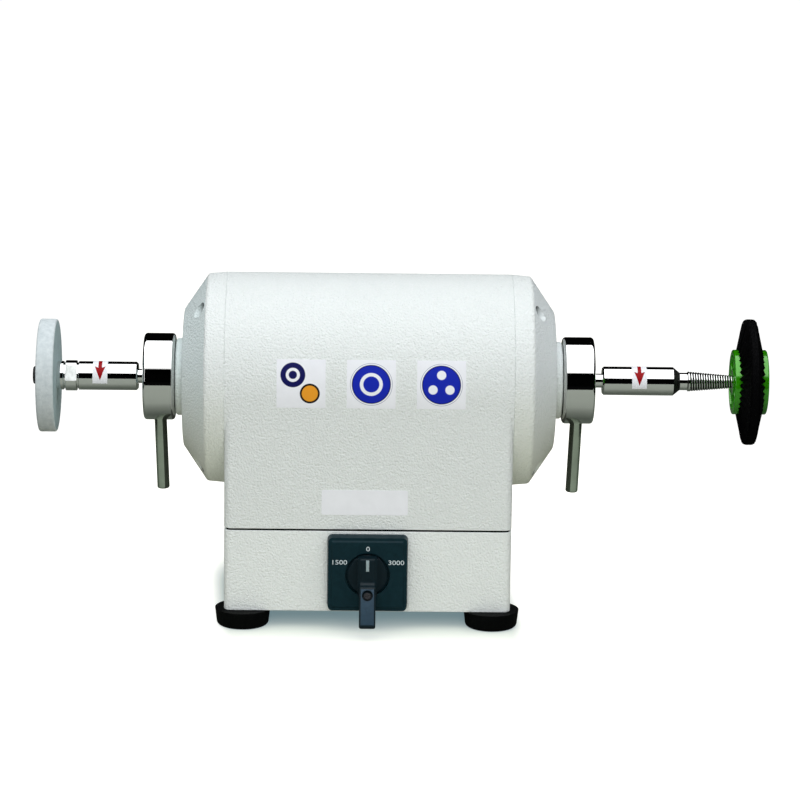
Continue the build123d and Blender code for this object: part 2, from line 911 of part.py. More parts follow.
save("base_box", base_box)

with BuildPart() as base_gasket:
    with BuildSketch(Plane.XY.offset(base_top)):
        RectangleRounded(
            housing_length - 2 * gasket_inset,
            body_depth - 2 * gasket_inset,
            corner_radius - gasket_inset,
        )
        Rectangle(
            housing_length - 2 * gasket_width, body_depth - 2 * gasket_width, mode=Mode.SUBTRACT
        )
        with GridLocations(housing_bolt_spacing, housing_bolt_spacing_y, 2, 2):
            Circle(housing_bolt_radius + screw_play, mode=Mode.SUBTRACT)
    extrude(amount=gasket_thickness)
save("base_gasket", base_gasket)

with BuildPart() as base_cover:
    with BuildSketch(Plane.XY.offset(foot_height)):
        Rectangle(
            housing_length - 2 * base_wall - 2 * seat_play, body_depth - 2 * base_wall - 2 * seat_play
        )
        with Locations(*foot_corners):
            Circle(foot_screw_radius + screw_play, mode=Mode.SUBTRACT)
    extrude(amount=cover_thickness)
save("base_cover", base_cover)

housing_bolts = cap_screws(
    grid(deck_bottom, housing_bolt_spacing, -housing_bolt_spacing_y, facing=-1),
    housing_bolt_radius,
    base_deck + gasket_thickness + housing_bolt_reach - screw_play,
    housing_bolt_head_radius,
    housing_bolt_head,
)
save("housing_bolts", housing_bolts)


# Feet: drafted rubber feet with a pocket for the screw
def make_foot(x, y):
    """One rubber foot."""
    with BuildPart() as foot:
        with BuildSketch(Plane(origin=(x, y, 0), x_dir=(1, 0, 0), z_dir=(0, -1, 0))) as section:
            with BuildLine():
                Polyline(
                    (foot_pocket_radius, 0),
                    (foot_radius - foot_draft, 0),
                    (foot_radius, foot_height),
                    (foot_screw_radius + screw_play, foot_height),
                    (foot_screw_radius + screw_play, foot_pocket_depth),
                    (foot_pocket_radius, foot_pocket_depth),
                    close=True,
                )
            make_face()
            rim = section.vertices().sort_by_distance((foot_radius - foot_draft, 0))[0]
            fillet(rim, foot_round)
        revolve(axis=Axis((x, y, 0), (0, 0, 1)))
    return foot


for row, (x, y) in foot_rows.items():
    for hand, side in sides.items():
        save(f"{row}_{hand}_foot", make_foot(side * x, y))

foot_screws = cap_screws(
    foot_places(foot_pocket_depth, facing=-1),
    foot_screw_radius,
    cover_top - foot_pocket_depth + foot_screw_reach - screw_play,
    foot_screw_head_radius,
    foot_screw_head,
)
save("foot_screws", foot_screws)

# Speed switch: front plate, contact block behind the wall, stem, and a pistol grip
frame_depth = plate_thickness - plate_raise
face_inset = plate_draft + plate_border
with BuildPart() as switch_plate:
    with BuildSketch(switch_plane):
        RectangleRounded(plate_width, plate_height, plate_corner)
    extrude(amount=frame_depth, taper=degrees(atan2(plate_draft, frame_depth)))
    with BuildSketch(switch_plane.offset(frame_depth)):
        RectangleRounded(
            plate_width - 2 * face_inset, plate_height - 2 * face_inset, plate_corner - plate_border
        )
    extrude(amount=plate_raise, taper=45)
    with BuildSketch(switch_plane.offset(plate_thickness)):
        Circle(knob_radius + knob_gap)
    extrude(amount=-knob_recess, mode=Mode.SUBTRACT)
    with BuildSketch(switch_plane):
        Rectangle(plate_pocket_size, plate_pocket_size)
    extrude(amount=plate_pocket_depth, mode=Mode.SUBTRACT)
    with Locations(switch_plane):
        Hole(switch_stem / 2**0.5 + switch_stem_room, plate_thickness)
save("switch_plate", switch_plate)

block_start = switch_plane.offset(-base_wall)
deck_pitch = switch_body_depth / switch_deck_count
with BuildPart() as switch_body:
    with BuildSketch(block_start):
        RectangleRounded(switch_body_size, switch_body_size, plate_corner)
    extrude(amount=-switch_body_depth)
    for deck in range(1, switch_deck_count):
        with BuildSketch(block_start.offset(-deck * deck_pitch)):
            Rectangle(switch_body_size, switch_body_size)
            Rectangle(
                switch_body_size - 2 * switch_deck_groove,
                switch_body_size - 2 * switch_deck_groove,
                mode=Mode.SUBTRACT,
            )
        extrude(amount=switch_deck_gap, mode=Mode.SUBTRACT)
    with BuildSketch(block_start):
        Circle(switch_bush_radius)
    extrude(amount=base_wall)
    with Locations(switch_plane):
        Hole(switch_stem / 2**0.5 + switch_stem_room, base_wall + switch_stem_depth)
    with Locations(*[place * Pos(0, 0, -base_wall) for place in switch_screw_places]):
        Hole(switch_screw_radius + screw_play, switch_screw_reach)
save("switch_body", switch_body)

switch_screws = cap_screws(
    switch_screw_places,
    switch_screw_radius,
    base_wall + switch_screw_reach - screw_play,
    switch_screw_head_radius,
    switch_screw_head,
)
save("switch_screws", switch_screws)

knob_back = plate_thickness - knob_recess + slide_play
knob_plane = switch_plane.offset(knob_back)
knob_rim = knob_recess - slide_play - knob_edge
stem_front = knob_back + stem_grip
with BuildPart() as switch_shaft:
    with BuildSketch(switch_plane.offset(stem_front)):
        Rectangle(switch_stem, switch_stem)
    extrude(amount=-(stem_front + base_wall + switch_stem_depth - slide_play))
save("switch_shaft", switch_shaft)


def grip_point(reach, height):
    """A point of the grip's side view: its reach in front of the plate, its height from the axis."""
    return (-base_front - plate_thickness - slide_play - reach, switch_height + height)


heel = grip_point(grip_heel_reach, grip_heel_height)
tip = grip_point(grip_tip_reach, grip_tip_height)
pit_y = heel[0] + grip_pit_place * (tip[0] - heel[0])
pit_z = heel[1] + grip_pit_place * (tip[1] - heel[1])
pit_plane = Plane(
    origin=(0, pit_y, pit_z), x_dir=(1, 0, 0), z_dir=(0, tip[1] - heel[1], heel[0] - tip[0])
)
with BuildPart() as switch_handle:
    with BuildSketch(Plane.YZ.offset(-grip_width / 2)) as side_view:
        with BuildLine():
            Polyline(
                grip_point(0, grip_top),
                grip_point(grip_face_reach, grip_top),
                grip_point(grip_face_reach, grip_step_height),
                heel,
                tip,
                grip_point(grip_toe_reach, grip_toe_height),
                grip_point(grip_root_reach, grip_root_height),
                grip_point(0, grip_root_height),
                close=True,
            )
        make_face()
        bends = (
            grip_point(grip_face_reach, grip_step_height),
            grip_point(grip_root_reach, grip_root_height),
        )
        fillet([side_view.vertices().sort_by_distance(place)[0] for place in bends], grip_bend_round)
        ends = heel, tip, grip_point(grip_toe_reach, grip_toe_height), grip_point(grip_face_reach, grip_top)
        fillet([side_view.vertices().sort_by_distance(place)[0] for place in ends], grip_tip_round)
    extrude(amount=grip_width)
    outline = switch_handle.faces().filter_by(Axis.X).edges()
    fillet(outline.sort_by(Axis.Y)[:-2], grip_round)
    with BuildSketch(knob_plane):
        with Locations((0, (grip_top + grip_root_height) / 2)):
            RectangleRounded(hub_width, grip_top - grip_root_height, grip_round)
    extrude(amount=hub_reach + knob_recess)
    with BuildSketch(knob_plane):
        Circle(knob_radius)
    extrude(amount=knob_rim)
    with BuildSketch(knob_plane.offset(knob_rim)):
        Circle(knob_radius)
    extrude(amount=knob_edge, taper=45)
    with BuildSketch(pit_plane):
        Circle(grip_pit_radius)
    extrude(amount=-grip_pit_depth, mode=Mode.SUBTRACT)
    with Locations(pit_plane.offset(-grip_pit_depth)):
        Hole(grip_screw_shank + screw_play, grip_screw_reach)
    with BuildSketch(knob_plane):
        Rectangle(switch_stem + 2 * screw_play, switch_stem + 2 * screw_play)
    extrude(amount=stem_grip + screw_play, mode=Mode.SUBTRACT)
save("switch_handle", switch_handle)

with BuildPart() as handle_screw:
    with Locations(pit_plane.offset(-grip_pit_depth)):
        Cylinder(grip_screw_radius, grip_screw_head, align=on_top)
        Cylinder(grip_screw_shank, grip_screw_reach - screw_play, align=below)
save("handle_screw", handle_screw)

# Capacitor lying on the bottom cover under a strap clamp
capacitor_height = cover_top + capacitor_radius + slide_play
capacitor_end = Plane(
    origin=(capacitor_x + capacitor_length / 2, capacitor_y, capacitor_height),
    x_dir=(0, 1, 0),
    z_dir=(1, 0, 0),
)
with BuildPart() as capacitor:
    with BuildSketch(capacitor_end):
        Circle(capacitor_radius)
    extrude(amount=-capacitor_length)
    fillet(capacitor.edges().filter_by(GeomType.CIRCLE), cone_round)
    with BuildSketch(capacitor_end):
        with GridLocations(capacitor_pin_spacing, 0, 2, 1):
            Circle(capacitor_pin_radius)
    extrude(amount=capacitor_pin_length)
save("capacitor", capacitor)

strap_inner = capacitor_radius + slide_play
strap_outer = strap_inner + clamp_gauge
with BuildPart() as capacitor_clamp:
    with BuildSketch(Plane.YZ.offset(capacitor_x - clamp_width / 2)):
        with Locations((capacitor_y, capacitor_height)):
            Circle(strap_outer)
        with Locations((capacitor_y, cover_top)):
            Rectangle(2 * strap_outer, capacitor_height - cover_top, align=(Align.CENTER, Align.MIN))
            Rectangle(
                2 * (strap_outer + clamp_foot), clamp_gauge, align=(Align.CENTER, Align.MIN)
            )
        with Locations((capacitor_y, capacitor_height)):
            Circle(strap_inner, mode=Mode.SUBTRACT)
        with Locations((capacitor_y, cover_top)):
            Rectangle(
                2 * strap_inner,
                capacitor_height - cover_top,
                align=(Align.CENTER, Align.MIN),
                mode=Mode.SUBTRACT,
            )
        with Locations((capacitor_y, cover_top)):
            Rectangle(2 * strap_outer, strap_outer, align=(Align.CENTER, Align.MAX), mode=Mode.SUBTRACT)
    extrude(amount=clamp_width)
save("capacitor_clamp", capacitor_clamp)

# Terminal block
block_pitch = block_length / block_ways
with BuildPart() as terminal_block:
    with BuildSketch(Plane(origin=(block_x, block_y, cover_top))):
        RectangleRounded(block_length, block_depth, block_screw_radius)
    extrude(amount=block_height)
    with BuildSketch(Plane(origin=(block_x, block_y, cover_top + block_height))):
        with GridLocations(block_pitch, block_depth / 2, block_ways, 2):
            Circle(block_screw_radius)
    extrude(amount=-block_screw_depth, mode=Mode.SUBTRACT)
save("terminal_block", terminal_block)

# Cable gland: threaded body with its hexagon outside, domed cap, and a lock nut inside the wall
with BuildPart() as cable_gland:
    with BuildSketch(gland_plane):
        RegularPolygon(gland_hexagon_radius, 6)
    extrude(amount=gland_flange)
    with BuildSketch(gland_plane):
        Circle(gland_thread_radius)
    extrude(amount=-gland_thread_length)
    with BuildSketch(gland_plane.offset(gland_flange)):
        Circle(gland_thread_radius)
    extrude(amount=gland_cap_grip)
    with Locations(gland_plane):
        Hole(gland_cable_radius, gland_thread_length)
save("cable_gland", cable_gland)

cap_axis = Axis((gland_x, 0, gland_height), (0, 1, 0))
cap_start = base_front + gland_flange
cap_end = cap_start + gland_cap_length
with BuildPart() as gland_cap:
    with BuildSketch(Plane(origin=(gland_x, 0, gland_height), x_dir=(0, 1, 0), z_dir=(1, 0, 0))):
        with BuildLine():
            Polyline(
                (cap_start, gland_thread_radius + screw_play),
                (cap_start, gland_cap_radius),
                (cap_start + gland_cap_grip, gland_cap_radius),
                (cap_end, gland_cap_tip_radius),
                (cap_end, gland_cable_radius),
                (cap_start + gland_cap_grip, gland_cable_radius),
                (cap_start + gland_cap_grip, gland_thread_radius + screw_play),
                close=True,
            )
        make_face()
    revolve(axis=cap_axis)
save("gland_cap", gland_cap)

with BuildPart() as gland_nut:
    with BuildSketch(gland_plane.offset(-base_wall)):
        RegularPolygon(gland_hexagon_radius, 6)
        Circle(gland_thread_radius + screw_play, mode=Mode.SUBTRACT)
    extrude(amount=-gland_nut_width)
save("gland_nut", gland_nut)
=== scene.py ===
"""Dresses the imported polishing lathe: finishes, thread, felt wheel, brush, dial marks, labels and stage."""

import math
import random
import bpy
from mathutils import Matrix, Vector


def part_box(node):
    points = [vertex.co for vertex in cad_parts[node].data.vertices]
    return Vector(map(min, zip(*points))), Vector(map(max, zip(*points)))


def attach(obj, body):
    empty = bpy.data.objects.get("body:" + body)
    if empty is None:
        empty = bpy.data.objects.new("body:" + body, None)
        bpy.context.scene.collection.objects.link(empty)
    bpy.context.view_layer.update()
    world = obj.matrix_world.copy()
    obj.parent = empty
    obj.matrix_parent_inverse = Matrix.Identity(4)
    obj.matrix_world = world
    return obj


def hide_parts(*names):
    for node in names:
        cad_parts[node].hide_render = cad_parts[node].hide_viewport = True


bl_info = {
    "name": "Polishing Lathe",
    "version": (1, 0, 0),
    "blender": (4, 5, 0),
    "location": "View3D > Sidebar > Lathe",
    "description": "Finishes and small pieces of a bench polishing lathe, built round its packed solids",
    "category": "Object",
}

from functools import partial

import bpy
from mathutils import Matrix, Vector

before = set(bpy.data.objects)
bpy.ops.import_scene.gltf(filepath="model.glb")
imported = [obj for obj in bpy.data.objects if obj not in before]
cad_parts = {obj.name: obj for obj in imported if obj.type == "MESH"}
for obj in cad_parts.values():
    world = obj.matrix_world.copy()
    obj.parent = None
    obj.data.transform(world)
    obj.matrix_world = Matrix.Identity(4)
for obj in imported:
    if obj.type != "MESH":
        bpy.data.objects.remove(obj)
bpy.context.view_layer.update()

# Solids that the pieces made here lie on, turn about or stand for.
axis_height = sum(corner.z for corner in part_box("left_ejector_ring")) / 2
barrel_low, barrel_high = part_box("motor_housing")
barrel_radius = (barrel_high.y - barrel_low.y) / 2
wheel_low, wheel_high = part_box("polishing_wheel")
hub_low, hub_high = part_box("brush_hub")
hub_radius = (hub_high.z - hub_low.z) / 2
bristles_low, bristles_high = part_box("brush_bristles")
spindle_low, spindle_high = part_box("right_spindle")
sleeve_radius = (spindle_high.z - spindle_low.z) / 2
plate_low, plate_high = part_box("switch_plate")

# The tapered screw of the right spindle, which the brush hub sits on.
screw_length = 0.0602
screw_start_radius, screw_tip_radius = 0.0076, 0.0027

# Between these levels lies nearly all of a noise texture.
noise_low, noise_high = 0.3, 0.7


def shown(red, green, blue):
    """A colour as the eye reads it, from 0 to 255, turned into the linear values that shaders take."""
    return tuple(
        level / 12.92 if level <= 0.04045 else ((level + 0.055) / 1.055) ** 2.4
        for level in (red / 255, green / 255, blue / 255)
    )


def number_prop(label, words, default, **kind):
    """A number that can be changed in the sidebar, with its unit or subtype."""
    return bpy.props.FloatProperty(name=label, description=words, default=default, **kind)


def length_prop(label, words, default):
    """A length that can be changed in the sidebar."""
    return number_prop(label, words, default, unit="LENGTH", precision=4)


def angle_prop(label, words, default):
    """An angle that can be changed in the sidebar, given in degrees."""
    return number_prop(label, words, math.radians(default), subtype="ANGLE")


def count_prop(label, words, default):
    """A whole number that can be changed in the sidebar."""
    return bpy.props.IntProperty(name=label, description=words, default=default, min=1)


def colour_prop(label, words, *levels):
    """A colour that can be changed in the sidebar, given as it is seen."""
    return bpy.props.FloatVectorProperty(
        name=label, description=words, default=shown(*levels), subtype="COLOR", size=3, min=0.0, max=1.0
    )


class LatheSizes(bpy.types.PropertyGroup):
    """Sizes of the pieces that are modelled here."""

    thread_pitch: length_prop("Thread pitch", "From crest to crest of the brush screw", 0.0019)
    thread_depth: length_prop("Thread depth", "From crest to root of the brush screw", 0.0006)
    thread_groove: number_prop(
        "Thread groove", "Share of the pitch that the groove takes", 0.78, subtype="FACTOR"
    )
    flat_reach: length_prop("Flat reach", "From the shaft axis to the flats of the left spindle", 0.0096)
    felt_relief: length_prop("Felt relief", "How far the felt stands up and down", 0.00018)
    hub_teeth: count_prop("Hub teeth", "Teeth round each rim of the brush hub", 30)
    tooth_length: length_prop("Tooth length", "How far a tooth reaches over the bristles", 0.0021)
    tooth_skin: length_prop("Tooth skin", "Thickness of a tooth", 0.0011)
    hub_edge: length_prop("Hub edge", "Rounding of the hub's outer edges", 0.0009)
    hub_ribs: count_prop("Hub ribs", "Ribs across each dished face of the hub", 6)
    rib_width: length_prop("Rib width", "Thickness of one rib of the hub", 0.0018)
    bristles_per_tuft: count_prop("Bristles per tuft", "Bristles that stand in one hole of the hub", 64)
    bristle_tip: length_prop("Bristle tip", "Width of the brush at its tip", 0.008)
    bristle_width: length_prop("Bristle width", "Across one bristle", 0.00042)
    sign_size: length_prop("Sign size", "Side of the square labels on the barrel", 0.036)
    sign_pitch: length_prop("Sign pitch", "From label to label along the barrel", 0.0517)
    paper: length_prop("Paper", "Thickness of a label", 0.00022)
    arrow_width: length_prop("Arrow label width", "Along the spindle", 0.0112)
    numeral_height: length_prop("Numeral height", "Height of the speeds on the dial", 0.0034)
    numeral_stretch: number_prop("Numeral stretch", "Width of the speeds", 1.26)
    numeral_skin: length_prop("Numeral skin", "How far the print stands off the plate", 0.00012)
    pointer_width: length_prop("Pointer width", "Across the pale bar on the handle", 0.0023)
    pointer_length: length_prop("Pointer length", "Along the pale bar on the handle", 0.0086)
    grip_slope: angle_prop("Grip slope", "How far the face of the grip looks up", 25.38)
    inlay_width: length_prop("Inlay width", "Across the grip's inlay", 0.0098)
    inlay_length: length_prop("Inlay length", "Along the grip's inlay", 0.0268)
    inlay_drop: length_prop("Inlay drop", "From the screw to the inlay's middle, along the grip", -0.0086)
    inlay_opening: length_prop("Inlay opening", "Radius of the opening over the screw", 0.0041)
    inlay_lift: length_prop("Inlay lift", "From the screw's head to the middle of the inlay", 0.0016)
    badge_width: length_prop("Badge width", "Blank label on the pedestal, across", 0.064)
    badge_height: length_prop("Badge height", "Blank label on the pedestal, up", 0.019)


class LatheColours(bpy.types.PropertyGroup):
    """Colours of the finishes that are seen."""

    paint_light: colour_prop("Paint", "Cast parts, the lighter tone", 242, 246, 244)
    paint_dark: colour_prop("Paint shade", "Cast parts, the darker tone", 235, 241, 238)
    # Painted shade: the colour that darkens the paint deep in the pockets of the castings.
    dust: colour_prop("Dust", "Painted shade deep in the pockets of the castings", 34, 40, 40)
    felt_light: colour_prop("Felt", "Polishing wheel, the lighter tone", 222, 230, 231)
    felt_dark: colour_prop("Felt shade", "Polishing wheel, the darker tone", 200, 210, 212)
    hub: colour_prop("Hub", "Plastic hub of the brush", 44, 143, 0)
    bristle: colour_prop("Bristle", "Bristles of the brush", 5, 5, 6)
    plate: colour_prop("Plate", "Plate of the speed switch", 16, 42, 49)
    numeral: colour_prop("Numeral", "Speeds printed on the plate", 214, 226, 230)
    handle: colour_prop("Handle", "Handle of the speed switch", 8, 27, 34)
    pointer: colour_prop("Pointer", "Pale bar on the handle", 150, 168, 172)
    # The inlay's lighter tone is a painted reflection of the lamp above.
    inlay: colour_prop("Inlay", "Face of the handle's grip", 40, 62, 78)
    rubber: colour_prop("Rubber", "Feet and gasket", 4, 5, 5)
    lever: colour_prop("Lever", "Levers of the ejector rings", 190, 200, 186)
    paper: colour_prop("Paper", "Labels", 246, 248, 252)
    arrow: colour_prop("Arrow", "Turning arrows on the spindles", 150, 2, 12)
    navy: colour_prop("Navy", "Small disc on the first label", 16, 18, 84)
    amber: colour_prop("Amber", "Small dot on the first label", 240, 160, 44)
    ink: colour_prop("Ink", "Line round the small dot", 14, 14, 16)
    blue: colour_prop("Blue", "Discs on the other labels", 22, 40, 176)
    hairline: colour_prop("Hairline", "Fine line round the discs", 120, 124, 150)


class LatheStage(bpy.types.PropertyGroup):
    """Where the camera stands, what it looks at, and how bright the lamps are."""

    distance: length_prop("Distance", "From the camera to the shaft axis", 2.55)
    elevation: angle_prop("Elevation", "How far the camera looks down", 13.0)
    yaw: angle_prop("Yaw", "How far the camera looks to the right", 0.9)
    roll: angle_prop("Roll", "How far the camera leans", 0.78)
    aim_right: length_prop("Aim right", "Middle of the picture, right of the barrel's middle", 0.0238)
    aim_down: length_prop("Aim down", "Middle of the picture, below the shaft axis", 0.01625)
    softbox: number_prop("Softbox", "Brightness of the lamp above", 1.37)
    fill: number_prop("Fill", "Brightness of the lamp by the camera", 2.42)
    sky: number_prop("Sky", "Brightness of the even light all round", 0.14)
    lens: number_prop("Lens", "Focal length of the camera", 151.0, unit="CAMERA")


# Every finish has a lighter and a darker tone, the scale of the drift between them, the range of its roughness,
# and the scale, stretch and height of its grain. What else it has goes to the shader's sockets of that name.
moulded = dict(drift=220, rough=(0.3, 0.45), grain=1500, relief=0.00003)
plain_finishes = {
    # Mirror chrome with faint turning marks round the shaft.
    "bright_chrome": dict(
        light=(0.86, 0.86, 0.85), dark=(0.82, 0.82, 0.81), drift=30, rough=(0.02, 0.05),
        grain=900, stretch=(1, 0.04, 0.04), metallic=1.0,
    ),
    # Flats that were ground across.
    "ground_steel": dict(
        light=(0.8, 0.82, 0.8), dark=(0.62, 0.64, 0.62), drift=500, rough=(0.3, 0.5),
        grain=700, stretch=(1, 0.2, 0.2), relief=0.00006, metallic=1.0,
    ),
    # Roots of the thread and the shoulder behind it, dark as painted shade.
    "thread_root": dict(
        light=(0.05, 0.05, 0.048), dark=(0.028, 0.028, 0.027), drift=600, rough=(0.4, 0.6),
        grain=900, metallic=1.0,
    ),
    # Blackened screws.
    "dark_steel": dict(
        light=(0.03, 0.03, 0.032), dark=(0.018, 0.018, 0.02), drift=300, rough=(0.32, 0.5),
        grain=900, relief=0.00002, specular_ior_level=0.25,
    ),
    # Turned or rolled steel that is out of sight.
    "plain_steel": dict(
        light=(0.6, 0.6, 0.58), dark=(0.5, 0.5, 0.49), drift=120, rough=(0.22, 0.4),
        grain=700, stretch=(0.2, 1, 1), metallic=1.0,
    ),
    # Stacked core sheets, seen as fine lines across the shaft.
    "core_sheet": dict(
        light=(0.3, 0.3, 0.31), dark=(0.2, 0.2, 0.21), drift=200, rough=(0.4, 0.6),
        grain=1400, stretch=(1, 0.02, 0.02), relief=0.0001, metallic=0.9,
    ),
    # Varnished copper turns.
    "copper_winding": dict(
        light=(0.62, 0.25, 0.11), dark=(0.42, 0.15, 0.06), drift=300, rough=(0.25, 0.45),
        grain=1100, stretch=(0.1, 1, 1), relief=0.0003, metallic=0.85,
    ),
    # Pressed brass of the ball cages.
    "pressed_brass": dict(
        light=(0.7, 0.5, 0.2), dark=(0.58, 0.4, 0.15), drift=200, rough=(0.25, 0.4),
        grain=900, metallic=1.0,
    ),
    # Rough cast end rings of the rotor.
    "end_ring_casting": dict(
        light=(0.66, 0.67, 0.68), dark=(0.54, 0.55, 0.56), drift=250, rough=(0.4, 0.6),
        grain=700, relief=0.00015, metallic=1.0,
    ),
    # Plated sheet with its spangle.
    "plated_sheet": dict(
        light=(0.68, 0.7, 0.72), dark=(0.54, 0.56, 0.58), drift=160, rough=(0.28, 0.45),
        grain=300, metallic=1.0,
    ),
    # Plastics with a fine spark-eroded skin.
    "ivory_plastic": dict(light=(0.66, 0.64, 0.56), dark=(0.6, 0.58, 0.5), **moulded),
    "grey_plastic": dict(light=(0.2, 0.21, 0.22), dark=(0.15, 0.16, 0.17), **moulded),
    "black_plastic": dict(light=(0.03, 0.03, 0.032), dark=(0.02, 0.02, 0.022), **moulded),
}

# Finishes in a colour of the sidebar, with how much lighter and darker it drifts.
tinted_finishes = {
    # Drawn steel rod, satin, with streaks along it.
    "drawn_rod": (
        "lever", 1.1, 0.9,
        dict(drift=60, rough=(0.06, 0.12), grain=800, stretch=(1, 1, 0.05), metallic=1.0),
    ),
    # Moulded rubber with a dusty bloom.
    "black_rubber": (
        "rubber", 1.35, 0.75,
        dict(drift=140, rough=(0.55, 0.75), grain=1100, relief=0.00008, specular_ior_level=0.06),
    ),
    # Satin plastic of the switch plate.
    "dial_plate_plastic": ("plate", 1.15, 0.85, dict(moulded, specular_ior_level=0.1)),
    # Near-black plastic of the switch handle.
    "handle_plastic": ("handle", 1.15, 0.85, dict(moulded, rough=(0.34, 0.5), specular_ior_level=0.22)),
    # Lighter slate plastic let into the grip, its lighter tone a painted reflection of the lamp above.
    "inlay_plastic": (
        "inlay", 1.15, 0.85, dict(moulded, drift=300, rough=(0.45, 0.6), specular_ior_level=0.3)
    ),
    # Glossy plastic of the brush hub, whose gloss takes on its green.
    "hub_plastic": (
        "hub", 1.12, 0.88,
        dict(drift=220, rough=(0.08, 0.16), grain=1500, ior=2.1, specular_tint=(0.52, 1, 0.4, 1)),
    ),
    # Stiff black hair with a faint gloss.
    "bristle_hair": (
        "bristle", 1.5, 0.6, dict(drift=700, rough=(0.6, 0.8), grain=2200, specular_ior_level=0.04)
    ),
    # Screen print.
    "dial_print": ("numeral", 1.1, 0.9, dict(drift=600, rough=(0.4, 0.55), grain=1200)),
    "pointer_print": ("pointer", 1.1, 0.9, dict(drift=600, rough=(0.4, 0.55), grain=1200)),
}

# The finish that each of the record's material slots gets, and the solids that take lighter copies of the
# paint, as painted light.
slot_finishes = {
    "cast_white": "white_paint",
    "gasket_rubber": "black_rubber",
    "foot_rubber": "black_rubber",
    "screw_steel": "dark_steel",
    "black_steel": "dark_steel",
    "zinc_sheet": "plated_sheet",
    "bearing_steel": "plain_steel",
    "shaft_steel": "bright_chrome",
    "chrome_plate": "bright_chrome",
    "cage_brass": "pressed_brass",
    "core_steel": "core_sheet",
    "copper_coils": "copper_winding",
    "cast_aluminium": "end_ring_casting",
    "lever_steel": "drawn_rod",
    "wheel_felt": "pressed_felt",
    "hub_green": "hub_plastic",
    "bristle_black": "bristle_hair",
    "plate_black": "dial_plate_plastic",
    "handle_grey": "handle_plastic",
    "switch_plastic": "grey_plastic",
    "capacitor_white": "ivory_plastic",
    "gland_black": "black_plastic",
}
lit_paint_copies = {
    "base_box": "base_paint",
    "left_end_bell": "left_bell_paint",
    "right_end_bell": "right_bell_paint",
}


def select_only(piece):
    """Leave one object selected and active."""
    bpy.ops.object.select_all(action="DESELECT")
    piece.select_set(True)
    bpy.context.view_layer.objects.active = piece


def settle(piece, finish, body, *nodes, slot, crease=35.0):
    """Smooth a finished piece, give it its finish, and let it ride on a body in place of solids."""
    select_only(piece)
    bpy.ops.object.transform_apply(location=True, rotation=True, scale=True)
    bpy.ops.object.shade_smooth_by_angle(angle=math.radians(crease))
    piece.data.materials.clear()
    piece.data.materials.append(bpy.data.materials[finish])
    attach(piece, body)
    if nodes:
        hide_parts(*nodes)


def second_finish(piece, finish, wanted):
    """Give the faces that are wanted a second finish."""
    piece.data.materials.append(bpy.data.materials[finish])
    for face in piece.data.polygons:
        if wanted(face):
            face.material_index = 1


def apply_modifier(piece, kind, **settings):
    """Add a modifier with its settings and apply it."""
    select_only(piece)
    added = piece.modifiers.new(kind.lower(), kind)
    for key, value in settings.items():
        setattr(added, key, value)
    bpy.ops.object.modifier_apply(modifier=added.name)


def close_mesh(reach=1e-6):
    """In edit mode, weld what meets and turn the faces outwards."""
    bpy.ops.mesh.select_all(action="SELECT")
    bpy.ops.mesh.remove_doubles(threshold=reach)
    bpy.ops.mesh.normals_make_consistent(inside=False)


def bevelled_block(name, size, place, edge):
    """Add a block at its size and place and round its edges."""
    bpy.ops.object.select_all(action="DESELECT")
    bpy.ops.mesh.primitive_cube_add(size=1.0, location=place)
    piece = bpy.context.object
    piece.name = name
    piece.dimensions = size
    bpy.ops.object.transform_apply(location=True, rotation=True, scale=True)
    bpy.ops.object.mode_set(mode="EDIT")
    bpy.ops.mesh.select_all(action="SELECT")
    bpy.ops.mesh.bevel(offset=edge, segments=2, affect="EDGES")
    bpy.ops.object.mode_set(mode="OBJECT")
    return piece


def start_point(name, place):
    """Start a mesh from one point, in edit mode, with the point selected."""
    bpy.ops.object.select_all(action="DESELECT")
    bpy.ops.mesh.primitive_plane_add(size=0.001, location=(0, 0, 0))
    piece = bpy.context.object
    piece.name = name
    piece.data.name = name
    bpy.ops.object.mode_set(mode="EDIT")
    bpy.ops.mesh.select_mode(type="VERT")
    bpy.ops.mesh.select_all(action="SELECT")
    bpy.ops.mesh.merge(type="CENTER")
    bpy.ops.transform.translate(value=place)
    return piece


def spun(name, points, steps, angle):
    """Draw a line through points and spin it round the shaft axis."""
    piece = start_point(name, points[0])
    for before, after in zip(points, points[1:]):
        bpy.ops.mesh.extrude_vertices_move(TRANSFORM_OT_translate={"value": after - before})
    bpy.ops.mesh.select_all(action="SELECT")
    bpy.ops.mesh.spin(steps=steps, angle=angle, center=(0, 0, axis_height), axis=(1, 0, 0))
    close_mesh()
    bpy.ops.object.mode_set(mode="OBJECT")
    return piece


def turned(name, outline, steps):
    """Spin an outline of (along the shaft, radius) points all the way round into one closed mesh."""
    return spun(name, [Vector((along, 0, axis_height + radius)) for along, radius in outline], steps, math.tau)


def arm(point):
    """From the shaft axis straight out to a point, as (across, up)."""
    return Vector((point.y, point.z - axis_height))


def evenly(start, end, steps):
    """Values at even steps from a start, which is left out, to an end."""
    return [start + (end - start) * step / steps for step in range(1, steps + 1)]


def rounded(end, rim, edge, turns, side=1):
    """Outline of the rounding between a rim and the face at its end, by degrees from the rim."""
    return [
        (end - side * edge * (1 - math.sin(turn)), rim - edge * (1 - math.cos(turn)))
        for turn in map(math.radians, turns)
    ]


def nose_socket(mouth, inward, sleeve, edge):
    """Outline of the socket that fits the shaft's nose, from its bottom to the chamfered edge of its mouth."""
    depth, bore, bottom = 0.03, 0.006, 0.7
    return [
        (mouth + inward * depth, 0.0),
        (mouth + inward * depth, bore * bottom),
        (mouth, bore),
        (mouth, sleeve - edge),
        (mouth + inward * edge, sleeve),
    ]


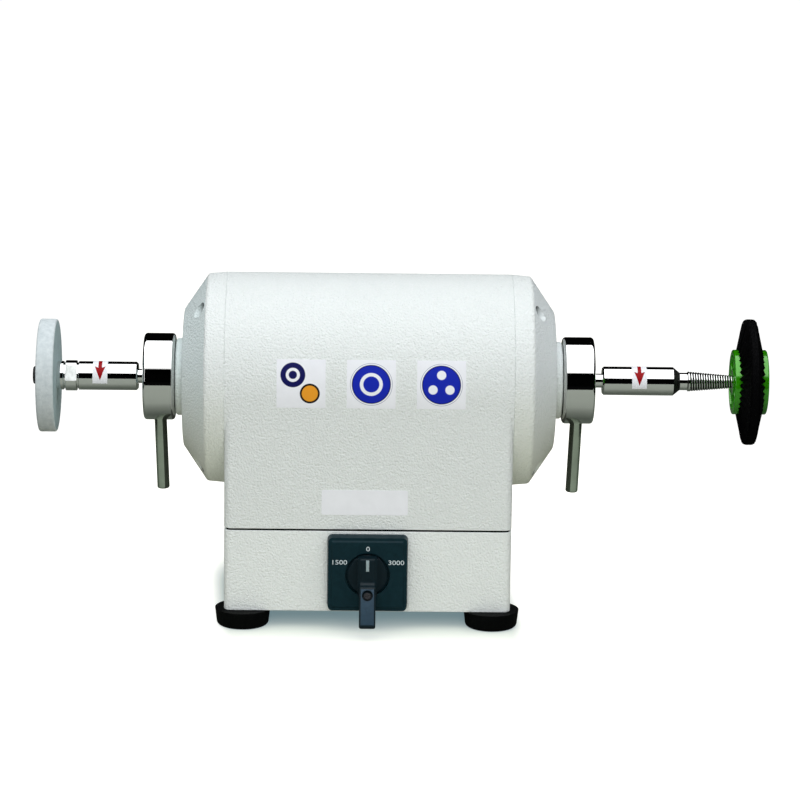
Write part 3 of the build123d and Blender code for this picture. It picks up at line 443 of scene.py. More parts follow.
def node(tree, kind, settings=None, inputs=None):
    """Add a shader node. An input that is given a socket is linked to it, and any other is set."""
    made = tree.nodes.new(kind)
    for key, value in (settings or {}).items():
        setattr(made, key, value)
    for key, value in (inputs or {}).items():
        if isinstance(value, bpy.types.NodeSocket):
            tree.links.new(value, made.inputs[key])
        elif made.inputs[key].type == "RGBA":
            made.inputs[key].default_value = (*value[:3], 1.0)
        else:
            made.inputs[key].default_value = value
    return made


def math_node(tree, operation, first, second=0.0, clamp=False):
    """Add a Math node and give back its result."""
    settings = {"operation": operation, "use_clamp": clamp}
    return node(tree, "ShaderNodeMath", settings, {0: first, 1: second}).outputs[0]


def map_range(tree, value, start, end, low=0.0, high=1.0, soft=False):
    """Map a value that goes from start to end on to low to high, evenly or with soft ends."""
    settings = {"interpolation_type": "SMOOTHSTEP" if soft else "LINEAR"}
    ends = {"Value": value, "From Min": start, "From Max": end, "To Min": low, "To Max": high}
    return node(tree, "ShaderNodeMapRange", settings, ends).outputs[0]


def mix_colours(tree, share, first, second, way="MIX"):
    """Mix two colours by the share of the second."""
    settings = {"data_type": "RGBA", "blend_type": way}
    return node(tree, "ShaderNodeMix", settings, {"Factor": share, 6: first, 7: second}).outputs[2]


def noise(tree, place, scale, detail, roughness):
    """Add a noise texture and give back its level."""
    values = {"Vector": place, "Scale": scale, "Detail": detail, "Roughness": roughness}
    return node(tree, "ShaderNodeTexNoise", None, values).outputs["Fac"]


def object_place(tree):
    """The place on a piece, in its own coordinates."""
    return node(tree, "ShaderNodeTexCoord").outputs["Object"]


def flat_place(tree):
    """The place on a label's own flat map, from 0 to 1 across and up."""
    return node(tree, "ShaderNodeUVMap", {"uv_map": "flat"}).outputs[0]


def split(tree, place):
    """The three parts of a place."""
    return node(tree, "ShaderNodeSeparateXYZ", None, {0: place}).outputs


def seen_share(tree):
    """1 for what the camera, a mirror or glass shows, and 0 for light that only falls on the lathe."""
    rays = node(tree, "ShaderNodeLightPath").outputs
    seen = math_node(tree, "ADD", rays["Is Camera Ray"], rays["Is Glossy Ray"])
    return math_node(tree, "ADD", seen, rays["Is Transmission Ray"], clamp=True)


def new_group(name, inputs, outputs):
    """Start a shader node group with named sockets."""
    tree = bpy.data.node_groups.new(name, "ShaderNodeTree")
    for label, kind in inputs.items():
        tree.interface.new_socket(label, in_out="INPUT", socket_type="NodeSocket" + kind)
    for label, kind in outputs.items():
        tree.interface.new_socket(label, in_out="OUTPUT", socket_type="NodeSocket" + kind)
    return tree, tree.nodes.new("NodeGroupInput").outputs, tree.nodes.new("NodeGroupOutput").inputs


def build_tone_drift():
    """Group: a colour that drifts between two tones, as paint, felt and moulded plastic do."""
    tree, given, result = new_group(
        "tone_drift", {"Light": "Color", "Dark": "Color", "Scale": "Float"}, {"Colour": "Color"}
    )
    cloud = noise(tree, object_place(tree), given["Scale"], detail=4.0, roughness=0.6)
    share = map_range(tree, cloud, noise_low, noise_high)
    tree.links.new(mix_colours(tree, share, given["Dark"], given["Light"]), result["Colour"])


def build_surface_grain():
    """Group: a fine relief and a level that follows it, for roughness, stretched along any axis."""
    tree, given, result = new_group(
        "surface_grain",
        {"Scale": "Float", "Stretch": "Vector", "Low": "Float", "High": "Float"},
        {"Level": "Float", "Height": "Float"},
    )
    ends = {0: object_place(tree), 1: given["Stretch"]}
    place = node(tree, "ShaderNodeVectorMath", {"operation": "MULTIPLY"}, ends).outputs[0]
    height = noise(tree, place, given["Scale"], detail=2.5, roughness=0.5)
    level = map_range(tree, height, noise_low, noise_high, given["Low"], given["High"])
    tree.links.new(level, result["Level"])
    tree.links.new(height, result["Height"])


def build_corner_painted_shade():
    """Group: painted shade deep in a piece's own pockets and corners, darker where its own surfaces close
    round.
    """
    full, none = 0.38, 0.64
    tree, given, result = new_group(
        "corner_dust", {"Clean": "Color", "Dust": "Color", "Reach": "Float"}, {"Colour": "Color"}
    )
    settings = {"samples": 16, "only_local": True}
    openness = node(tree, "ShaderNodeAmbientOcclusion", settings, {"Distance": given["Reach"]}).outputs["AO"]
    share = map_range(tree, openness, full, none, 1.0, 0.0, soft=True)
    tree.links.new(mix_colours(tree, share, given["Clean"], given["Dust"]), result["Colour"])


def build_bell_painted_light():
    """Group: painted light on an end bell's paint: a warmer painted bounce low down and a brighter, cooler
    painted light high up on the cone past its rim.
    """
    rim_width, low_end, high_end = 0.0155, -0.05, 0.02
    tree, given, result = new_group(
        "bell_tint", {"Clean": "Color", "Low": "Color", "High": "Color"}, {"Colour": "Color"}
    )
    across, _, height = split(tree, object_place(tree))
    on_cone = math_node(tree, "GREATER_THAN", math_node(tree, "ABSOLUTE", across), barrel_high.x + rim_width)
    high = mix_colours(tree, on_cone, (1, 1, 1), given["High"])
    rise = map_range(tree, height, axis_height + low_end, axis_height + high_end)
    tint = mix_colours(tree, rise, given["Low"], high)
    tree.links.new(mix_colours(tree, 1.0, given["Clean"], tint, "MULTIPLY"), result["Colour"])


def build_print_disc():
    """Group: a round mask on a label's own flat map, with a hair-soft edge."""
    sharpness = 90.0
    tree, given, result = new_group(
        "print_disc", {"Middle": "Vector", "Radius": "Float"}, {"Mask": "Float"}
    )
    ends = {0: flat_place(tree), 1: given["Middle"]}
    away = node(tree, "ShaderNodeVectorMath", {"operation": "DISTANCE"}, ends).outputs["Value"]
    inside = math_node(tree, "SUBTRACT", given["Radius"], away)
    tree.links.new(math_node(tree, "MULTIPLY", inside, sharpness, clamp=True), result["Mask"])


def place_group(tree, name, **values):
    """Place a built group in a material with its own values."""
    return node(tree, "ShaderNodeGroup", {"node_tree": bpy.data.node_groups[name]}, values).outputs


def shader_of(finish):
    """The shader of a material."""
    return finish.node_tree.nodes["Principled BSDF"]


def make_finish(name, light, dark, drift, rough, grain, stretch=(1, 1, 1), relief=0.0, **sockets):
    """A finish: two tones that drift, a roughness that varies and a fine relief, plus plain shader values."""
    finish = bpy.data.materials.new(name)
    finish.use_nodes = True
    tree, shader = finish.node_tree, shader_of(finish)
    tone = place_group(tree, "tone_drift", Light=light, Dark=dark, Scale=drift)
    skin = place_group(tree, "surface_grain", Scale=grain, Stretch=stretch, Low=rough[0], High=rough[1])
    tree.links.new(tone["Colour"], shader.inputs["Base Color"])
    tree.links.new(skin["Level"], shader.inputs["Roughness"])
    if relief:
        values = {"Strength": 1.0, "Distance": relief, "Height": skin["Height"]}
        tree.links.new(node(tree, "ShaderNodeBump", None, values).outputs[0], shader.inputs["Normal"])
    for label, value in sockets.items():
        shader.inputs[label.replace("_", " ").title().replace("Ior", "IOR")].default_value = value
    return finish


def colour_so_far(finish):
    """The colour that a finish's shader takes now."""
    return shader_of(finish).inputs["Base Color"].links[0].from_socket


def recolour(finish, colour):
    """Let a finish's shader take another colour."""
    finish.node_tree.links.new(colour, shader_of(finish).inputs["Base Color"])


def print_over(finish, mask, ink):
    """Print an ink over a finish where a mask is set."""
    recolour(finish, mix_colours(finish.node_tree, mask, colour_so_far(finish), ink))


def shade(colour, factor):
    """A colour made darker or lighter by a factor."""
    return tuple(min(1.0, level * factor) for level in colour)


def white_paint(name, gain, painted_light_tints=None):
    """Sprayed paint with the pimples of a rough casting, with painted shade deep in its pockets and corners.
    Painted light tints, low and high, are those of an end bell.
    """
    colours = bpy.context.scene.lathe_colours
    light, dark = shade(colours.paint_light, gain), shade(colours.paint_dark, gain)
    finish = make_finish(name, light, dark, drift=650, rough=(0.42, 0.6), grain=660, relief=0.00125)
    tree = finish.node_tree
    if painted_light_tints:
        low, high = painted_light_tints
        tinted = place_group(tree, "bell_tint", Clean=colour_so_far(finish), Low=low, High=high)
        recolour(finish, tinted["Colour"])
    # Painted shade darkens the paint deep in its own pockets and corners.
    with_painted_shade = place_group(tree, "corner_dust", Clean=colour_so_far(finish), Dust=colours.dust, Reach=0.012)
    recolour(finish, with_painted_shade["Colour"])


def pressed_felt(name, kept_share):
    """Pressed felt: soft, mottled, with short fibres. The share of each colour that is kept is given; the side
    faces keep less, as painted shade.
    """
    colours = bpy.context.scene.lathe_colours
    light, dark = (
        tuple(level * left for level, left in zip(tone, kept_share))
        for tone in (colours.felt_light, colours.felt_dark)
    )
    make_finish(
        name, light, dark, drift=260, rough=(0.85, 0.98), grain=1300, relief=0.0002, specular_ior_level=0.1
    )


def label_paper(name, marks=()):
    """Coated paper with printed discs, each given as middle, radius and colour."""
    tone = bpy.context.scene.lathe_colours.paper
    finish = make_finish(
        name, tone, shade(tone, 0.96), drift=120, rough=(0.35, 0.5), grain=900, relief=0.00001,
        specular_ior_level=0.15,
    )
    for middle, radius, ink in marks:
        disc = place_group(finish.node_tree, "print_disc", Middle=(*middle, 0.0), Radius=radius)
        print_over(finish, disc["Mask"], ink)
    return finish


def arrow_paper(name):
    """Coated paper with one arrow that points down, drawn on the label's flat map."""
    half_shaft, shaft_end = 0.125, 0.97
    tip, head_slope, head_end, barb_slope = 0.105, 0.78, 0.5, 0.2
    finish = label_paper(name)
    calc = partial(math_node, finish.node_tree)
    across, along, _ = split(finish.node_tree, flat_place(finish.node_tree))
    off_middle = calc("ABSOLUTE", calc("SUBTRACT", across, 0.5))
    in_shaft = calc("LESS_THAN", off_middle, half_shaft)
    past_head = calc("MULTIPLY", in_shaft, calc("GREATER_THAN", along, head_end))
    shaft = calc("MULTIPLY", past_head, calc("LESS_THAN", along, shaft_end))
    side = calc("MULTIPLY", calc("SUBTRACT", along, tip), head_slope)
    barb = calc("ADD", calc("MULTIPLY", off_middle, barb_slope), head_end)
    head = calc("MULTIPLY", calc("LESS_THAN", off_middle, side), calc("LESS_THAN", along, barb))
    print_over(finish, calc("MAXIMUM", shaft, head), bpy.context.scene.lathe_colours.arrow)


def curved_label(name, middle, width, radius, low, high, steps):
    """A sheet that lies round the shaft axis between two angles above the front, with its own flat map."""
    start = Vector((middle - width / 2, -radius * math.cos(low), axis_height + radius * math.sin(low)))
    piece = spun(name, [start, start + Vector((width, 0, 0))], steps, high - low)
    flat = piece.data.uv_layers.new(name="flat")
    for loop in piece.data.loops:
        place = piece.data.vertices[loop.vertex_index].co
        turn = math.atan2(place.z - axis_height, -place.y)
        flat.data[loop.index].uv = ((place.x - start.x) / width, (turn - low) / (high - low))
    if sum(face.normal.yz.dot(arm(face.center)) for face in piece.data.polygons) < 0:
        piece.data.flip_normals()
    apply_modifier(piece, "SOLIDIFY", thickness=bpy.context.scene.lathe_sizes.paper, offset=1.0)
    return piece


class LATHE_OT_finishes(bpy.types.Operator):
    """Give every solid that stays as it is the finish of the real part"""

    bl_idname = "lathe.finishes"
    bl_label = "Finish the solids"

    def execute(self, context):
        build_tone_drift()
        build_surface_grain()
        build_corner_painted_shade()
        build_bell_painted_light()
        build_print_disc()
        for name, values in plain_finishes.items():
            make_finish(name, **values)
        for name, (colour, lighter, darker, values) in tinted_finishes.items():
            tone = getattr(context.scene.lathe_colours, colour)
            make_finish(name, shade(tone, lighter), shade(tone, darker), **values)
        pressed_felt("pressed_felt", kept_share=(1.0, 1.0, 1.0))
        # A darker copy of the felt for the side faces, as painted shade.
        pressed_felt("felt_side", kept_share=(0.61, 0.71, 0.72))
        white_paint("white_paint", gain=0.97)
        # The base takes a lighter copy of the paint, as painted light.
        white_paint("base_paint", gain=1.04)
        # The end bells take copies of the paint with painted light: a warm painted bounce low down, brighter
        # and cooler higher up on the cone.
        painted_bounce_tint = (1.02, 1.02, 0.94)
        white_paint("left_bell_paint", gain=0.98, painted_light_tints=(painted_bounce_tint, (0.985, 1.05, 1.06)))
        white_paint("right_bell_paint", gain=0.98, painted_light_tints=(painted_bounce_tint, (1.05, 1.065, 1.085)))
        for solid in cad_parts.values():
            for place in solid.material_slots:
                place.material = bpy.data.materials[slot_finishes[place.material.name]]
        for name, paint in lit_paint_copies.items():
            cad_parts[name].material_slots[0].material = bpy.data.materials[paint]
        return {"FINISHED"}


class LATHE_OT_brush_screw(bpy.types.Operator):
    """Turn the right spindle and cut the tapered thread that brushes screw on to"""

    bl_idname = "lathe.brush_screw"
    bl_label = "Brush screw"

    def execute(self, context):
        sizes = context.scene.lathe_sizes
        mouth, tip = spindle_low.x, spindle_high.x
        shoulder, shoulder_end = mouth + 0.0538, mouth + 0.059
        waist, waist_step = 0.0066, 0.0008
        start = tip - screw_length
        points_per_turn, steps_round = 12, 72
        # The thread starts behind a plain lip, reaches its depth over its run-in and stops short of the point.
        lip, run_in, plain_point, least_radius = 0.0004, 0.0015, 0.0002, 0.0015
        # Painted shade lies below this share of the thread's depth, between these shares of the taper's length.
        shade_depth, shade_start, shade_end = 0.24, 0.02, 0.97

        def taper(share):
            """The point on the taper at a share of its length, as (along the shaft, radius)."""
            radius = screw_start_radius + (screw_tip_radius - screw_start_radius) * share
            return start + (tip - start) * share, radius

        outline = nose_socket(mouth, 1, sleeve_radius, edge=0.0012)
        outline += [(shoulder, sleeve_radius), (shoulder_end, waist), (start - waist_step, waist), taper(0.0)]
        outline += map(taper, evenly(0.0, 1.0, int((tip - start) / sizes.thread_pitch * points_per_turn)))
        outline.append((tip, 0.0))
        piece = turned("brush_screw", outline, steps_round)
        for spot in piece.data.vertices:
            along = spot.co.x - start
            out = arm(spot.co)
            if along < lip or out.length < least_radius or spot.co.x > tip - plain_point:
                continue
            turn = math.atan2(out.y, out.x) / math.tau
            wave = abs(2 * ((along / sizes.thread_pitch - turn) % 1.0) - 1)
            cut = sizes.thread_depth * min(1.0, along / run_in) * max(0.0, 1 - wave / sizes.thread_groove)
            out *= 1 - cut / out.length
            spot.co.y, spot.co.z = out.x, axis_height + out.y
        settle(piece, "bright_chrome", "right_tool", "right_spindle", slot="chrome_plate", crease=25)

        def with_painted_shade(face):
            """Whether a face lies in the grooves of the thread or on the shoulder, where shade is painted."""
            share = (face.center.x - start) / (tip - start)
            groove = taper(share)[1] - sizes.thread_depth * shade_depth
            grooved = shade_start < share < shade_end and arm(face.center).length < groove
            return grooved or shoulder < face.center.x < shoulder_end

        second_finish(piece, "thread_root", with_painted_shade)
        return {"FINISHED"}


class LATHE_OT_arbor(bpy.types.Operator):
    """Turn the left spindle and grind the two flats of its ring"""

    bl_idname = "lathe.arbor"
    bl_label = "Left arbor"

    def execute(self, context):
        reach = context.scene.lathe_sizes.flat_reach
        low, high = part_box("left_spindle")
        ring = (high.z - low.z) / 2
        sleeve, groove, stub = ring - 0.00065, ring - 0.0018, 0.005
        chamfer, gap, touch = 0.0004, 0.0012, 1e-5
        steps_round, nearly_level = 128, 0.9995
        sleeve_end = high.x - 0.0452
        ring_start, ring_end = sleeve_end - gap, sleeve_end - 0.0099
        collar = ring_end - gap
        outline = nose_socket(high.x, -1, sleeve, edge=0.0014)
        outline += [(sleeve_end + chamfer, sleeve), (sleeve_end, sleeve - chamfer), (sleeve_end, groove)]
        outline += [(ring_start, groove), (ring_start, ring - chamfer), (ring_start - chamfer, ring)]
        outline += [(ring_end + chamfer, ring), (ring_end, ring - chamfer), (ring_end, groove)]
        outline += [(collar, groove), (collar, sleeve - chamfer), (collar - chamfer, sleeve)]
        outline += [(wheel_high.x, sleeve), (wheel_high.x, stub), (low.x, stub), (low.x, 0.0)]
        piece = turned("left_arbor", outline, steps_round)
        flats = [Vector((0, math.cos(turn), math.sin(turn))) for turn in map(math.radians, (155, -25))]
        for spot in piece.data.vertices:
            if ring_end - touch < spot.co.x < ring_start + touch:
                for facing in flats:
                    over = arm(spot.co).dot(facing.yz) - reach
                    if over > 0:
                        spot.co -= facing * over
        settle(piece, "bright_chrome", "left_tool", "left_spindle", slot="chrome_plate", crease=20)

        def ground(face):
            """Whether a face lies on one of the flats."""
            level = max(face.normal.dot(facing) for facing in flats) > nearly_level
            return level and ring_end < face.center.x < ring_start

        second_finish(piece, "ground_steel", ground)
        return {"FINISHED"}


class LATHE_OT_felt_wheel(bpy.types.Operator):
    """Turn the felt wheel, round its edges and rough up its skin"""

    bl_idname = "lathe.felt_wheel"
    bl_label = "Felt wheel"

    def execute(self, context):
        relief = context.scene.lathe_sizes.felt_relief
        left, right = wheel_low.x + relief, wheel_high.x - relief
        rim = (wheel_high.z - wheel_low.z) / 2 - relief
        bore, edge = 0.0051, 0.0015
        corner = rim - edge
        face_rows, rim_rows, steps_round = 14, 6, 160
        outline = [(left, bore)]
        outline += [(left, radius) for radius in evenly(bore, corner, face_rows)]
        outline += rounded(left, rim, edge, (60, 30, 0), side=-1)
        outline += [(along, rim) for along in evenly(left + edge, right - edge, rim_rows)]
        outline += rounded(right, rim, edge, (30, 60, 90))
        outline += [(right, radius) for radius in evenly(corner, bore, face_rows)]
        outline.append((left, bore))
        piece = turned("felt_wheel", outline, steps_round)
        fluff = bpy.data.textures.new("felt_fluff", "CLOUDS")
        fluff.noise_scale = 0.0016
        fluff.noise_depth = 2
        apply_modifier(piece, "DISPLACE", texture=fluff, texture_coords="LOCAL", mid_level=0.5, strength=relief)
        settle(piece, "pressed_felt", "left_tool", "polishing_wheel", slot="wheel_felt", crease=80)
        # The side faces take the darker copy of the felt, as painted shade.
        second_finish(
            piece, "felt_side", lambda face: arm(face.center).length < corner and abs(face.normal.x) > 0.5
        )
        return {"FINISHED"}


class LATHE_OT_brush(bpy.types.Operator):
    """Mould the toothed hub of the brush and set its tufts of bristles"""

    bl_idname = "lathe.brush"
    bl_label = "Brush"

    def make_hub(self, sizes):
        """Spin the hub, push the edges of its rims out into teeth, and rib its dished faces."""
        start, end = hub_low.x, hub_high.x
        middle, reach = (start + end) / 2, end - (start + end) / 2
        groove = (bristles_high.x - bristles_low.x) / 2 + 0.0001
        floor, skin = hub_radius - 0.002, hub_radius - sizes.tooth_skin
        rim_start = groove + 0.0006
        dish, dish_rim, dish_draft, core = 0.003, hub_radius - 0.0038, 0.0004, 0.010
        step_out, near = 1e-5, 4e-6  # sets the edge that becomes teeth apart from the wall under it
        steps_per_tooth = 8
        screw_start, clearance = spindle_high.x - screw_length, 0.0001

        def bore(place):
            """Radius of the hub's bore, which follows the taper of the screw."""
            drop = (screw_start_radius - screw_tip_radius) * (place - screw_start) / screw_length
            return screw_start_radius + clearance - drop

        half = [(0.0, floor), (groove, floor), (groove, skin), (groove - step_out, skin)]
        half += [(groove - step_out, hub_radius), (rim_start, hub_radius)]
        half += rounded(reach, hub_radius, sizes.hub_edge, (0, 30, 60, 90))
        half += [(reach, dish_rim), (reach - dish, dish_rim - dish_draft), (reach - dish, core), (reach, core)]
        right = [(middle + off, radius) for off, radius in half] + [(end, bore(end))]
        left = [(middle - off, radius) for off, radius in half] + [(start, bore(start))]
        outline = left[::-1] + right[1:] + [left[-1]]
        piece = turned("brush_hub_toothed", outline, sizes.hub_teeth * steps_per_tooth)
        for spot in piece.data.vertices:
            off = spot.co.x - middle
            out = arm(spot.co)
            if abs(abs(off) - groove + step_out) < near and out.length > skin - step_out:
                stagger = 0.25 if off > 0 else 0.0
                share = math.atan2(out.y, out.x) / math.tau * sizes.hub_teeth - stagger
                spot.co.x -= math.copysign(sizes.tooth_length * abs(2 * (share % 1.0) - 1), off)

        sink, bite, rounding = 0.0004, 0.001, 0.0003
        size = (dish, sizes.rib_width, dish_rim - core + bite)
        pattern = bevelled_block("hub_rib", size, (0, 0, (dish_rim + core) / 2), rounding)
        ribs = []
        for place in (start + dish / 2 + sink, end - dish / 2 - sink):
            for step in range(sizes.hub_ribs):
                rib = pattern.copy()
                rib.data = pattern.data.copy()
                turn = Matrix.Rotation(math.tau * step / sizes.hub_ribs, 4, "X")
                rib.data.transform(Matrix.Translation((place, 0, axis_height)) @ turn)
                bpy.context.collection.objects.link(rib)
                ribs.append(rib)
        bpy.data.objects.remove(pattern)
        select_only(piece)
        for rib in ribs:
            rib.select_set(True)
        bpy.ops.object.join()
        settle(piece, "hub_plastic", "right_tool", "brush_hub", slot="hub_green", crease=40)

    def make_bristles(self, sizes):
        """Spin a dark heart and stand the bristles of every tuft round it, in four staggered rows."""
        middle = (bristles_low.x + bristles_high.x) / 2
        tip = (bristles_high.z - bristles_low.z) / 2
        floor = hub_radius - 0.0018
        root = (bristles_high.x - bristles_low.x) / 2
        crown = sizes.bristle_tip / 8  # half the width of one row at the tip
        top, edge, waist = tip - 0.0009, tip - 0.0019, floor + 0.002
        waist_off, foot_off, steps_round = root * 0.71, root * 0.72, 120
        half = [(crown * 2, top), (crown * 3.3, edge), (waist_off, waist), (foot_off, floor)]
        heart = [(-off, radius) for off, radius in half[::-1]] + half + [(-foot_off, floor)]
        piece = turned("brush_tufts", [(middle + off, radius) for off, radius in heart], steps_round)

        tuft_radius, root_margin = 0.0015, 0.0015
        tip_gap, tip_wander, crown_drop, taper = 0.0005, 0.0003, 0.0009, 0.8
        chance = random.Random(11)
        points, faces = [], []
        rows = [(share * (root - root_margin), share * 3 * crown) for share in (-1, -1 / 3, 1 / 3, 1)]
        for row, (root_off, tip_off) in enumerate(rows):
            stagger = 0.5 * (row % 2) + (0.25 if row > 1 else 0.0)
            for tuft in range(sizes.hub_teeth):
                turn = math.tau * (tuft + stagger) / sizes.hub_teeth
                for hair in range(sizes.bristles_per_tuft):
                    spread, way = tuft_radius * math.sqrt(chance.random()), math.tau * chance.random()
                    root_turn = turn + spread * math.sin(way) / floor
                    tip_turn = turn + (chance.random() - 0.5) * math.tau / sizes.hub_teeth
                    root_x = middle + root_off + spread * math.cos(way)
                    tip_x = middle + tip_off + 2 * crown * (chance.random() - 0.5)
                    drop = crown_drop * ((tip_x - middle) / (4 * crown)) ** 4
                    reach = tip - tip_gap - tip_wander * chance.random() - drop
                    low, high = (
                        Vector((place, math.sin(angle) * radius, axis_height + math.cos(angle) * radius))
                        for place, angle, radius in ((root_x, root_turn, floor), (tip_x, tip_turn, reach))
                    )
                    along = (high - low).normalized()
                    across = along.orthogonal().normalized()
                    first = len(points)
                    for end, width in ((low, sizes.bristle_width), (high, sizes.bristle_width * taper)):
                        for corner in range(3):
                            turned_out = Matrix.Rotation(math.tau * corner / 3, 3, along) @ across
                            points.append(end + turned_out * width / 2)
                    walls = ((0, 1, 4, 3), (1, 2, 5, 4), (2, 0, 3, 5), (2, 1, 0), (3, 4, 5))
                    faces += [[first + corner for corner in wall] for wall in walls]
        mesh = bpy.data.meshes.new("brush_hairs")
        mesh.from_pydata(points, [], faces)
        hairs = bpy.data.objects.new("brush_hairs", mesh)
        bpy.context.collection.objects.link(hairs)
        select_only(piece)
        hairs.select_set(True)
        bpy.ops.object.join()
        settle(piece, "bristle_hair", "right_tool", "brush_bristles", slot="bristle_black")

    def execute(self, context):
        sizes = context.scene.lathe_sizes
        self.make_hub(sizes)
        self.make_bristles(sizes)
        return {"FINISHED"}


class LATHE_OT_dial(bpy.types.Operator):
    """Print the speeds on the switch plate and set the pale pointer in the handle"""

    bl_idname = "lathe.dial"
    bl_label = "Dial"

    def print_numeral(self, sizes, name, words, place):
        """Set a speed in thin raised print, upright on the plate."""
        bpy.ops.object.select_all(action="DESELECT")
        bpy.ops.object.text_add(location=(0, 0, 0))
        text = bpy.context.object
        text.name = name
        text.data.body = words
        text.data.align_x = "CENTER"
        text.data.align_y = "CENTER"
        text.data.extrude = 0.004
        bpy.ops.object.convert(target="MESH")
        numeral = bpy.context.object
        scale = sizes.numeral_height / numeral.dimensions.y
        numeral.scale = (sizes.numeral_stretch * scale, scale, sizes.numeral_skin / numeral.dimensions.z)
        numeral.rotation_euler.x = math.radians(90)
        numeral.location = place
        bpy.ops.object.transform_apply(location=True, rotation=True, scale=True)
        bpy.ops.object.mode_set(mode="EDIT")
        close_mesh(1e-7)
        bpy.ops.object.mode_set(mode="OBJECT")
        settle(numeral, "dial_print", "stand", slot="capacitor_white")

    def execute(self, context):
        sizes = context.scene.lathe_sizes
        middle = (plate_low + plate_high) / 2
        front = plate_low.y - sizes.numeral_skin / 2
        numerals = (
            ("rest", "0", 0.0002, 0.0198),
            ("slow", "1500", -0.0212, 0.0094),
            ("fast", "3000", 0.0212, 0.0094),
        )
        for name, words, across, up in numerals:
            self.print_numeral(sizes, "numeral_" + name, words, (middle.x + across, front, middle.z + up))
        thickness, rounding, stand_off, rise = 0.0004, 0.00012, 0.0075, 0.009
        size = (sizes.pointer_width, thickness, sizes.pointer_length)
        place = (middle.x, plate_low.y - stand_off, middle.z + rise)
        pointer = bevelled_block("pointer", size, place, rounding)
        settle(pointer, "pointer_print", "speed_handle", slot="capacitor_white")
        return {"FINISHED"}


class LATHE_OT_grip(bpy.types.Operator):
    """Let the slate inlay into the handle's grip and cut the cross of its screw"""

    bl_idname = "lathe.grip"
    bl_label = "Grip"

    head_radius = 0.0027

    def lay_on_grip(self, piece, slope):
        """Turn a piece that was made flat on the floor so that it lies on the sloping grip, about the screw."""
        low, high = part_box("handle_screw")
        facing = Vector((0, -math.cos(slope), math.sin(slope)))
        back, down = self.head_radius * math.sin(slope), self.head_radius * math.cos(slope)
        head = Vector(((low.x + high.x) / 2, low.y + back, high.z - down))
        piece.matrix_world = Matrix.Translation(head) @ facing.to_track_quat("Z", "Y").to_matrix().to_4x4()

    def cut(self, piece, cutter):
        """Take one piece out of another."""
        apply_modifier(piece, "BOOLEAN", operation="DIFFERENCE", object=cutter, solver="EXACT")
        bpy.data.objects.remove(cutter)

    def make_inlay(self, sizes):
        """A thin rounded slab with a round opening over the screw."""
        thickness, rounding, cutter_depth = 0.0005, 0.00012, 0.01
        size = (sizes.inlay_width, sizes.inlay_length, thickness)
        piece = bevelled_block("grip_inlay", size, (0, sizes.inlay_drop, sizes.inlay_lift), rounding)
        bpy.ops.mesh.primitive_cylinder_add(
            vertices=64, radius=sizes.inlay_opening, depth=cutter_depth, location=(0, 0, 0)
        )
        self.cut(piece, bpy.context.object)
        return piece

    def make_screw(self):
        """A round head with a bevelled edge and a cross cut into it."""
        height, rounding, cross_turn = 0.0018, 0.0005, 0.35
        bar_size = (0.0034, 0.0007, 0.0016)
        bpy.ops.object.select_all(action="DESELECT")
        bpy.ops.mesh.primitive_cylinder_add(
            vertices=48, radius=self.head_radius, depth=height, location=(0, 0, -height / 2)
        )
        piece = bpy.context.object
        piece.name = "grip_screw"
        bpy.ops.object.transform_apply(location=True, rotation=True, scale=True)
        bpy.ops.object.mode_set(mode="EDIT")
        bpy.ops.mesh.select_all(action="DESELECT")
        bpy.ops.object.mode_set(mode="OBJECT")
        for edge in piece.data.edges:
            edge.select = all(piece.data.vertices[end].co.z > -1e-6 for end in edge.vertices)
        bpy.ops.object.mode_set(mode="EDIT")
        bpy.ops.mesh.select_mode(type="EDGE")
        bpy.ops.mesh.bevel(offset=rounding, segments=3, affect="EDGES")
        bpy.ops.object.mode_set(mode="OBJECT")
        for turn in (cross_turn, cross_turn + math.pi / 2):
            bpy.ops.mesh.primitive_cube_add(size=1.0, location=(0, 0, 0), rotation=(0, 0, turn))
            bar = bpy.context.object
            bar.dimensions = bar_size
            self.cut(piece, bar)
        return piece

    def execute(self, context):
        sizes = context.scene.lathe_sizes
        inlay = self.make_inlay(sizes)
        self.lay_on_grip(inlay, sizes.grip_slope)
        settle(inlay, "inlay_plastic", "speed_handle", slot="handle_grey")
        screw = self.make_screw()
        self.lay_on_grip(screw, sizes.grip_slope)
        settle(screw, "dark_steel", "speed_handle", "handle_screw", slot="screw_steel", crease=30)
        return {"FINISHED"}


